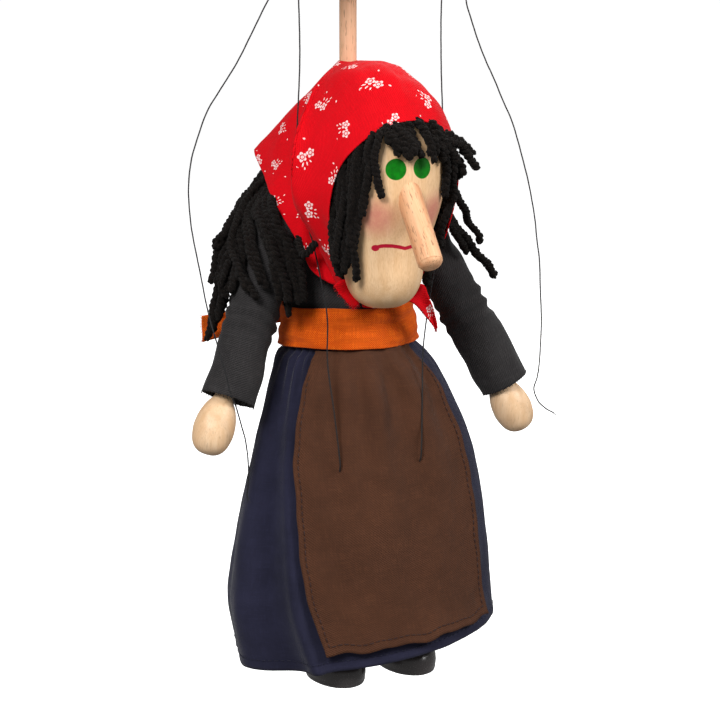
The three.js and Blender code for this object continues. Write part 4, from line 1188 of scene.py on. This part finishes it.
# The kerchief runs from the hole round the rod, over the head, to its edge. Each line holds the four
# places after the hole, and the lines go round from the forehead by the puppet's right.
KERCHIEF = [
    [(0, 26, 291.5), (0, 42, 288.5), (0, 55.5, 280), (0, 63.5, 268)],
    [(-9, 25, 290), (-13, 39, 285), (-17, 51, 275), (-18, 59, 262)],
    [(-15, 20, 286), (-24, 33, 274), (-30, 43, 259), (-31, 50, 245)],
    [(-20, 17, 282), (-33, 29, 264), (-37, 37, 243), (-31, 44, 221)],
    [(-23, 15, 279), (-38, 28, 257), (-40, 32, 232), (-26, 38, 202)],
    [(-25, 14, 278), (-41, 27.5, 255), (-40, 28, 228), (-19.5, 32.5, 190)],
    [(-20, 8, 276), (-27, 15, 252), (-23.5, 19, 222), (-20.5, 25, 190)],
    [(-18, 4, 276), (-27, 10, 254), (-27, 15, 224), (-28, 20, 196)],
    [(-16, 0, 277), (-26, 3, 257), (-31, 9, 236), (-34, 17, 209)],
    [(-15, -4, 277), (-25, -5, 260), (-32, -2, 242), (-39.5, 3, 226.5)],
    [(-13, -8, 278), (-24, -13, 262), (-31, -15, 248), (-36.5, -14, 236)],
    [(-11, -11, 279), (-20, -20, 267), (-27, -28, 256), (-32, -34, 247)],
    [(-7, -13, 279), (-13, -23, 264), (-17, -30, 250), (-18, -34, 238)],
    [(0, -13, 279), (0, -23, 262), (0, -29, 243), (0, -31, 225)],
    [(8, -10, 278), (15, -16, 258), (19, -19, 236), (22, -20, 219)],
    [(14, -5, 277), (25, -4, 256), (28, 0, 235), (25.8, 5.5, 214)],
    [(16, 0, 277), (28, 3, 254), (29, 8, 226), (26.3, 10.5, 199)],
    [(18, 4, 277), (31, 11, 252), (31, 14, 220), (26, 18, 192)],
    [(22, 12, 278), (37, 24, 254), (37, 27, 226), (19, 32, 190)],
    [(22, 15, 280), (37, 29, 258), (39, 32, 234), (26, 38, 202)],
    [(20, 17, 282), (33, 30, 265), (37, 37, 244), (31, 44, 221)],
    [(15, 20, 286), (24, 33, 274), (30, 43, 259), (31, 50, 245)],
    [(9, 25, 290), (13, 39, 285), (17, 51, 275), (18, 59, 262)],
]
ROD_HOLE = 4.4
# The line of KERCHIEF at the middle of the back, where its print is cut.
BACK_LINE = 13
# A kerchief tip's width and length are taken as no less than this, in millimetres. No
# side of a declared sheet is shorter than this.
SHORTEST_SIDE = 10.0
# Each tail: pairs of places across it, from the knot to its tip.
KERCHIEF_TAILS = {
    "right": [[(-5, 28.5, 183.5), (-5, 28.5, 179.5)], [(-11, 31.5, 190), (-9, 32, 182)],
              [(-16.5, 34, 193), (-12.5, 35, 182.5)], [(-21, 35, 194), (-15, 36.5, 181)],
              [(-25.5, 36, 191.5), (-16.5, 37.5, 180.5)]],
    "left": [[(5, 28.5, 183.5), (5, 28.5, 179.5)], [(14, 30.5, 187), (11.5, 31.5, 181.5)],
             [(22.5, 32, 188), (16.5, 33.5, 180)], [(26, 32, 181), (21.3, 33, 175.5)],
             [(29.3, 31, 173.6), (26.6, 31.6, 170)], [(30.9, 31, 166), (30, 31.2, 165.4)]],
}


def kerchief():
    red = woven("kerchief_cloth", colour(228, 2, 22), colour(206, 0, 14), 0.46, 0.14, True, 0.3, 0.03, 0.3,
                0.8, sprigs)
    count, fine, rows = len(KERCHIEF), 8, 56
    lines = []
    for number, line in enumerate(KERCHIEF):
        angle = 2 * math.pi * number / count
        hole = (-ROD_HOLE * math.sin(angle), ROD_HOLE * math.cos(angle), 289.6)
        lines.append(spline([hole, *line], rows))
    grid = spline(np.array(lines), count * fine, closed=True).transpose(1, 0, 2)
    out = grid_normals(grid)
    column = np.arange(count * fine) / fine
    down = np.linspace(0, 1, rows)[:, None]
    near_tie = np.exp(-((column - 5.2) / 2.6) ** 2) + np.exp(-((column - 17.8) / 2.6) ** 2)
    low = np.clip(down * 1.6 - 0.5, 0, 1)
    pulled = 0.8 * np.sin(column * 5.2 + 0.8 * np.sin(column))[None] * near_tie[None] * low
    draped = 0.5 * np.sin(column * 3.1 + 2 * down + 1.0) * np.sin(down * math.pi) * (1 - 0.6
            * near_tie[None])
    grid = grid + (pulled + draped)[..., None] * out
    grid = wrinkles(grid, (0.05, 0.05, 0.05), 1.2, 70.0, out)
    grid = wrinkles(grid, (0.16, 0.16, 0.1), 0.45, 75.0, out)
    piece = open_mesh("red_kerchief", grid.reshape(-1, 3), grid_faces(rows, count * fine, True), red)
    face_outwards(piece.data, None)
    seam = BACK_LINE * fine
    unwrap(piece, {(i * count * fine + seam, (i + 1) * count * fine + seam) for i in range(rows - 1)})
    finish_cloth(piece, "puppet", 0.55, ["kerchief"])
    knot = []
    for k, (low, turn) in enumerate(((0.0, 0.4), (1.4, -0.5), (-1.2, 0.1))):
        line = spline([(-6, 27, 180.8 + 0.5 * low), (-2.5, 29.2 + 0.4 * k, 180.8 + 0.5 * low + turn),
                       (2.5, 29.2 + 0.4 * k, 180.6 - turn), (6, 27, 180.8 - 0.5 * low)], 20)
        knot.append(tube(line, 1.5 + 0.4 * np.sin(np.linspace(0, math.pi, 20)), 14))
    tie = made("kerchief_tie", merged(knot), red, "puppet", ["kerchief_knot"])
    flat_print(tie, tie.data.uv_layers.new(name="cloth"))
    chance = random.Random(8)
    for side, rungs in KERCHIEF_TAILS.items():
        kerchief_tail(side, np.array(rungs, float), red, chance)
    return grid, out


def kerchief_tail(side, rungs, red, chance):
    rows, columns = 40, 16
    rails = spline(rungs, rows)
    share = np.linspace(0, 1, columns)
    grid = rails[:, :1] + (rails[:, 1:2] - rails[:, :1]) * share[None, :, None]
    run = np.linspace(0, 1, rows)[:, None]
    grid[..., 1] += 0.7 * np.sin(share * 6 + 2.5 * run) * np.clip(run * 3, 0.3, 1)
    grid = wrinkles(grid, (0.2, 0.2, 0.2), 0.8, 90.0, np.array([0.0, 1.0, 0.0]))
    ragged = [noise.noise(Vector((s * 14, 2.0, len(side)))) for s in share]
    grid[-1] += 0.8 * np.array(ragged)[:, None] * unit(grid[-1] - grid[-3])
    piece = cloth(f"kerchief_tip_{side}", grid, red, "puppet", 0.5, False, (0, 1, 0),
                  [f"kerchief_tail_{side}"])
    edge = np.concatenate([grid[-1].repeat(2, axis=0), grid[20:, -1]])
    ways = [unit(grid[-1, 0] - grid[-4, 0])] * 2 * columns + [unit(grid[20, -1] - grid[20, 0])] * (rows - 20)
    loose = made(f"kerchief_fray_{side}", fray(edge, ways, chance, 1.8, 1, 0.1), red, "puppet")
    loose.data.uv_layers.new(name="cloth")
    wide = float(np.linalg.norm(grid[:, 0] - grid[:, -1], axis=1).max())
    tall = length_of(grid[:, columns // 2])
    wide, tall = max(wide, SHORTEST_SIDE) * MM, max(tall, SHORTEST_SIDE) * MM


def surface_of(piece):
    return sum(p.area for p in piece.data.polygons)


def grid_normals(grid):
    """Outward directions of a closed ring grid."""
    around = np.roll(grid, -1, axis=1) - np.roll(grid, 1, axis=1)
    down = np.gradient(grid, axis=0)
    normal = unit(np.cross(around, down))
    spoke = grid - np.array([0, 20, 0]) * np.array([1, 1, 0])
    spoke[..., 2] = 0
    return normal if (normal * spoke).sum() > 0 else -normal


def unwrap(piece, seams):
    """Flat coordinates in metres for a mesh, cut along the seams, with as little stretch as may be."""
    mesh = piece.data
    for edge in mesh.edges:
        edge.use_seam = tuple(sorted(edge.vertices)) in seams
    mesh.uv_layers.new(name="cloth")
    for other in bpy.context.selected_objects:
        other.select_set(False)
    piece.select_set(True)
    bpy.context.view_layer.objects.active = piece
    bpy.ops.object.mode_set(mode="EDIT")
    bpy.ops.mesh.select_all(action="SELECT")
    bpy.ops.uv.unwrap(method="ANGLE_BASED", margin=0.0)
    bpy.ops.object.mode_set(mode="OBJECT")
    piece.select_set(False)
    layer = mesh.uv_layers["cloth"]
    uv = np.zeros(len(layer.data) * 2)
    layer.data.foreach_get("uv", uv)
    uv = uv.reshape(-1, 2)
    flat = 0.0
    for polygon in mesh.polygons:
        corners = uv[list(polygon.loop_indices)]
        x, y = corners[:, 0], corners[:, 1]
        flat += 0.5 * abs(np.dot(x, np.roll(y, -1)) - np.dot(y, np.roll(x, -1)))
    uv *= math.sqrt(surface_of(piece) / flat)
    layer.data.foreach_set("uv", uv.ravel())


# ---- hair ------------------------------------------------------------------------------------------

YARN = {"radius": 2.0, "pitch": 5.2}
FACE_LOCKS = [
    [(-11, 50, 276), (-16, 56, 265), (-21, 57, 245), (-22, 54.5, 225), (-24, 53, 209), (-22, 52, 196)],
    [(-13, 47, 274), (-19, 53, 262), (-24, 54.5, 240), (-25, 52, 223), (-26, 51, 211), (-27.5, 50, 200)],
    [(-18, 42, 268), (-24, 47.5, 256), (-27, 49, 236), (-28, 48, 219), (-29, 48, 203)],
    [(-20, 38, 264), (-26, 43.5, 250), (-29, 45, 231), (-30, 45, 216), (-28, 46, 206)],
    [(-14, 46, 273), (-20.5, 52, 260), (-22.5, 56, 240), (-24, 54, 224), (-26, 53, 212)],
    [(-16, 44, 270), (-22, 50, 257), (-25, 52, 236), (-27, 50, 220), (-28, 50, 209)],
    [(-9, 51, 277), (-13.5, 57.5, 268), (-17, 62, 256), (-18, 63.5, 245), (-15, 63, 234.5)],
    [(-10, 50, 276), (-15, 56.5, 266), (-19.5, 60.5, 255), (-21, 60, 245), (-22, 58.5, 235),
     (-21.5, 57.5, 226)],
    [(-22, 38, 260), (-28, 41, 244), (-31, 41, 228), (-30, 43, 212), (-28, 46, 198)],
    [(-21, 40, 262), (-26, 45, 248), (-27.5, 46, 230), (-28.5, 47, 213), (-26, 48.5, 199)],
]
FRINGE = [
    [(-9, 50, 279), (-12, 56, 271), (-12.5, 62, 263), (-10, 65.5, 257.5), (-8, 66.5, 253)],
    [(-6, 51, 279.5), (-8, 58, 271), (-7.5, 64, 262.5), (-5, 67, 256.5), (-4.5, 67.5, 251.5)],
    [(-3, 52, 280), (-4, 59, 271.5), (-1.5, 65, 262.5), (1.5, 67.5, 256.5), (2.5, 67.5, 252)],
    [(0, 52, 280), (1, 59, 271.5), (4.5, 65, 263), (7, 66.5, 257.5), (6, 66.5, 253)],
    [(4, 52, 279.5), (6, 58.5, 270.5), (11, 63.5, 260.5), (15, 62.5, 254.5), (17, 61.5, 249)],
    [(7, 50, 279), (11, 56.5, 269), (19, 60.5, 259.5), (28, 59.5, 252.5), (37, 57, 244)],
    [(9, 49, 277), (14, 55.5, 265), (23, 57.5, 253.5), (27.5, 56, 246), (30, 56, 241)],
    [(11, 48, 273), (18, 54, 259), (23, 55.5, 245), (25, 54, 233), (23.5, 53, 222)],
    [(13, 46, 269), (22, 51, 253), (26.5, 52.5, 239), (24.5, 52.5, 228), (22, 51.5, 217), (21, 50.5, 208)],
    [(11, 50, 272), (16.5, 57, 258), (19.5, 57.5, 244), (18.5, 57, 232)],
    [(-4, 51, 280), (-6, 58, 271.5), (-4.5, 65, 263), (-1.5, 68, 257), (-2, 68, 253)],
    [(5, 51, 279), (9, 57.5, 268.5), (16, 61.5, 260), (22, 60, 254), (25.5, 58.5, 247)],
    [(2, 52, 280), (3, 59, 271.5), (6.5, 65, 261.5), (10.5, 65.5, 256), (11, 64.5, 251.5)],
]
LEFT_STRANDS = [
    [(28, 30, 236), (34, 30, 233), (40, 28, 230.5), (44, 26, 226), (48.5, 24, 221), (54.5, 20, 213.5),
     (59, 18, 209), (62, 17, 205), (61.2, 17, 202)],
    [(26, 30, 232), (32.5, 30, 226.5), (38.5, 27, 220), (47, 22, 213), (54.5, 17, 205.5), (62.5, 12, 197),
     (70, 9, 190), (76, 7, 183.5)],
    [(26, 26, 229), (33, 28, 222), (41, 24, 214), (49, 19, 205.5), (56, 15, 198)],
    [(26, 43, 238), (26.5, 45.5, 228), (25.5, 45, 218), (26, 43, 210), (27.5, 41.5, 206)],
    [(20, 40, 222), (22, 38, 206), (22, 38, 195), (22.5, 38, 188)],
]
RIGHT_MASS = [
    [(-28, -24, 244), (-33, -23, 236), (-43, -19, 227.5), (-50, -14, 221), (-57, -10, 213.5), (-62, -7, 209),
     (-65.5, -6, 205.5)],
    [(-30, -22, 241), (-37, -20, 233), (-47, -14, 222), (-57, -7, 209), (-62, -4, 200), (-64, -3, 194)],
    [(-30, -18, 238), (-37, -17, 230), (-47, -9, 218), (-57, -1, 205), (-64, 3, 196), (-66.5, 4, 191),
     (-62.5, 7, 187)],
    [(-29, -20, 236), (-38, -19, 226), (-51, -13, 210), (-60.5, -8, 197), (-63, -7, 186), (-64.5, -8, 175),
     (-67, -9, 166.5)],
    [(-29, -14, 235), (-38, -12, 225), (-49, -2, 213), (-58, 5, 200), (-63, 8, 190)],
    [(-29, -16, 238), (-40, -15, 227.5), (-51, -9, 217), (-57, -1, 209), (-59, 6, 202), (-59.5, 12, 195),
     (-58, 16, 188)],
    [(-28, -14, 238), (-38, -13, 229), (-48, -7, 221), (-53, 3, 215.5), (-54, 11, 208), (-53, 16.5, 199),
     (-51, 19, 190)],
    [(-28, -12, 238), (-37, -10, 230), (-46, -3, 223.5), (-49, 7, 219), (-49, 14, 211), (-47.5, 18, 202),
     (-46, 20, 193), (-45, 20.5, 184)],
    [(-28, -12, 236), (-37, -9, 229), (-44, -1, 225), (-45, 9, 221), (-44.5, 15, 213), (-42.5, 18, 204),
     (-41, 20, 194), (-40, 21, 184)],
    [(-28, -10, 236), (-36, -6, 229), (-42, 3, 225.5), (-42, 12, 220), (-41, 16, 213), (-38.5, 19, 204),
     (-37, 21, 195), (-36.5, 22, 186)],
]
POKING_STRAND = [
    (-28, 4, 222), (-31, 12, 214), (-35.5, 20, 206), (-35, 25, 205.5), (-32, 28.5, 209), (-28, 32, 214.5)]
# Rows of nape hair: height of the roots, number of strands, reach from the middle, and drop.
NAPE_ROWS = ((218, 15, 33, 44), (206, 13, 30, 40))


def jittered(strand, chance, size):
    """A neighbour of a strand: shifted, a little longer or shorter, and wandering on its way."""
    shift = np.array([chance.gauss(0, size) for _ in range(3)])
    pts = np.array(strand, float)
    share = np.linspace(0, 1, len(pts))[:, None]
    drift = np.array([chance.gauss(0, size * 0.9) for _ in range(3)])
    pts = pts + shift * (0.5 + 0.5 * share) + drift * share
    pts[-1] += (pts[-1] - pts[-2]) * chance.uniform(-0.35, 0.3)
    return pts


def under_cloth(points, sheet, gap):
    """The points, moved in through a sheet of cloth wherever it covers them."""
    grid, out = sheet
    edge = len(grid[0]) * (len(grid) - 1)
    flat, ways = grid.reshape(-1, 3), out.reshape(-1, 3)
    nearest = ((points[:, None] - flat[None]) ** 2).sum(axis=2).argmin(axis=1)
    height = ((points - flat[nearest]) * ways[nearest]).sum(axis=1)
    covered = (nearest < edge) & (np.abs(height) < 14)
    sink = np.where(covered, np.maximum(height + gap, 0), 0)
    return eased(points - sink[:, None] * ways[nearest], 2)


def eased(path, rounds):
    """A path with its sharp turns eased, and its ends kept."""
    for _ in range(rounds):
        path = np.concatenate([path[:1], 0.25 * path[:-2] + 0.5 * path[1:-1] + 0.25 * path[2:], path[-1:]])
    return path


def clear_of_sleeves(points, gap):
    """The points, moved out of both sleeves where they are nearer to them than the gap."""
    levels = np.array(SLEEVE)
    for facts in SIDES.values():
        pivot, hand = arm_ends(facts)
        reach = float(np.linalg.norm(hand - pivot))
        down = (hand - pivot) / reach
        along = (points - pivot) @ down
        middle = pivot + along[:, None] * down
        middle[:, 0] += CUFF_DRIFT * np.maximum(along / (reach - 12), 0)
        spoke = points - middle
        far = np.linalg.norm(spoke, axis=1)
        size = np.interp(along, levels[:, 0], levels[:, 1], left=0) + gap
        push = np.maximum(size - far, 0) * (along > levels[0, 0] - gap) * (along < reach)
        points = points + push[:, None] * spoke / np.maximum(far, 1e-6)[:, None]
    return points


def wool_strand(strand, chance, sheet, size=1.0):
    path = spline(strand, 60)
    run = np.linspace(0, 1, 60)
    sway = np.stack([np.sin(run * chance.uniform(5, 12) + chance.uniform(0, 6)) for _ in range(3)], axis=1)
    curl = np.stack([np.sin(run * chance.uniform(16, 26) + chance.uniform(0, 6)) for _ in range(3)], axis=1)
    path = path + (0.9 * sway + 0.35 * curl) * (np.sin(run * math.pi) ** 0.5)[:, None]
    radius = YARN["radius"] * size * chance.uniform(0.84, 1.12)
    path = head_clear(path, radius + 0.25)
    path = eased(clear_of_sleeves(path, radius + 0.9), 1)
    if sheet:
        path = under_cloth(path, sheet, radius + 0.7)
    return plied(path, radius, YARN["pitch"] * chance.uniform(0.85, 1.15), 2, 7, 0.5, 0.6, chance)


def strands(group, chance, copies, spread, sheet, size=1.0):
    parts = []
    for strand in group:
        parts.append(wool_strand(strand, chance, sheet, size))
        for _ in range(copies):
            parts.append(wool_strand(jittered(strand, chance, spread), chance, sheet, size))
    return parts


def filling(group, chance, count, spread, sheet):
    """Strands between neighbours of a group, to make a thick mass of it."""
    guides = [spline(strand, 7) for strand in group]
    parts = []
    for _ in range(count):
        where = chance.uniform(0, len(guides) - 1.001)
        first = int(where)
        middle = guides[first] + (guides[first + 1] - guides[first]) * (where - first)
        parts.append(wool_strand(jittered(middle, chance, spread), chance, sheet))
    return parts


def nape_strands(chance):
    """Strands that hang from under the kerchief's back edge over the blouse."""
    parts = []
    for top, count, reach, drop in NAPE_ROWS:
        for k in range(count):
            angle = math.radians(200 + 140 * (k + chance.uniform(0.2, 0.8)) / count)
            c, s = math.cos(angle), math.sin(angle)
            low = top - drop * chance.uniform(0.75, 1.05)
            strand = [(17 * c, 2 + 17 * s, top + 20), (22 * c, 24 * s + 1, top + 8),
                      (26.5 * c, 26 * s - 0.5, top - 8), (reach * 0.92 * c, 28 * s - 1, 0.5 * (top + low)),
                      (reach * c + chance.uniform(-2, 2), 27.5 * s - 1.5, low)]
            parts.append(wool_strand(strand, chance, None))
    return merged(parts)


def hair(sheet):
    chance = random.Random(23)
    wool = yarn_wool()
    fringe = strands(FRINGE, chance, 1, 1.2, sheet)
    made("yarn_fringe", merged(fringe), wool, "puppet", ["hair_fringe"])
    locks = strands(FACE_LOCKS, chance, 0, 0.7, sheet) + filling(FACE_LOCKS[:4], chance, 5, 0.8, sheet)
    made("yarn_locks_right", merged(locks), wool, "puppet", ["hair_right"])
    made("yarn_strands_left", merged(strands(LEFT_STRANDS, chance, 0, 1.6, None, 1.1)), wool, "puppet",
         ["hair_left", "hair_shoulder"])
    mass = strands(RIGHT_MASS, chance, 1, 1.6, sheet) + filling(RIGHT_MASS, chance, 26, 1.8, sheet)
    mass.append(wool_strand(POKING_STRAND, chance, None))
    over = made("yarn_over_shoulder", merged(mass), wool, None, ["hair_back"])
    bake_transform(over)
    made("yarn_nape", nape_strands(chance), wool, "puppet", ["hair_nape"])


camera()
strings()
studio()
head_and_nose()
rod_and_control()
body_wood()
skirt()
apron()
sash()
blouse()
hair(kerchief())
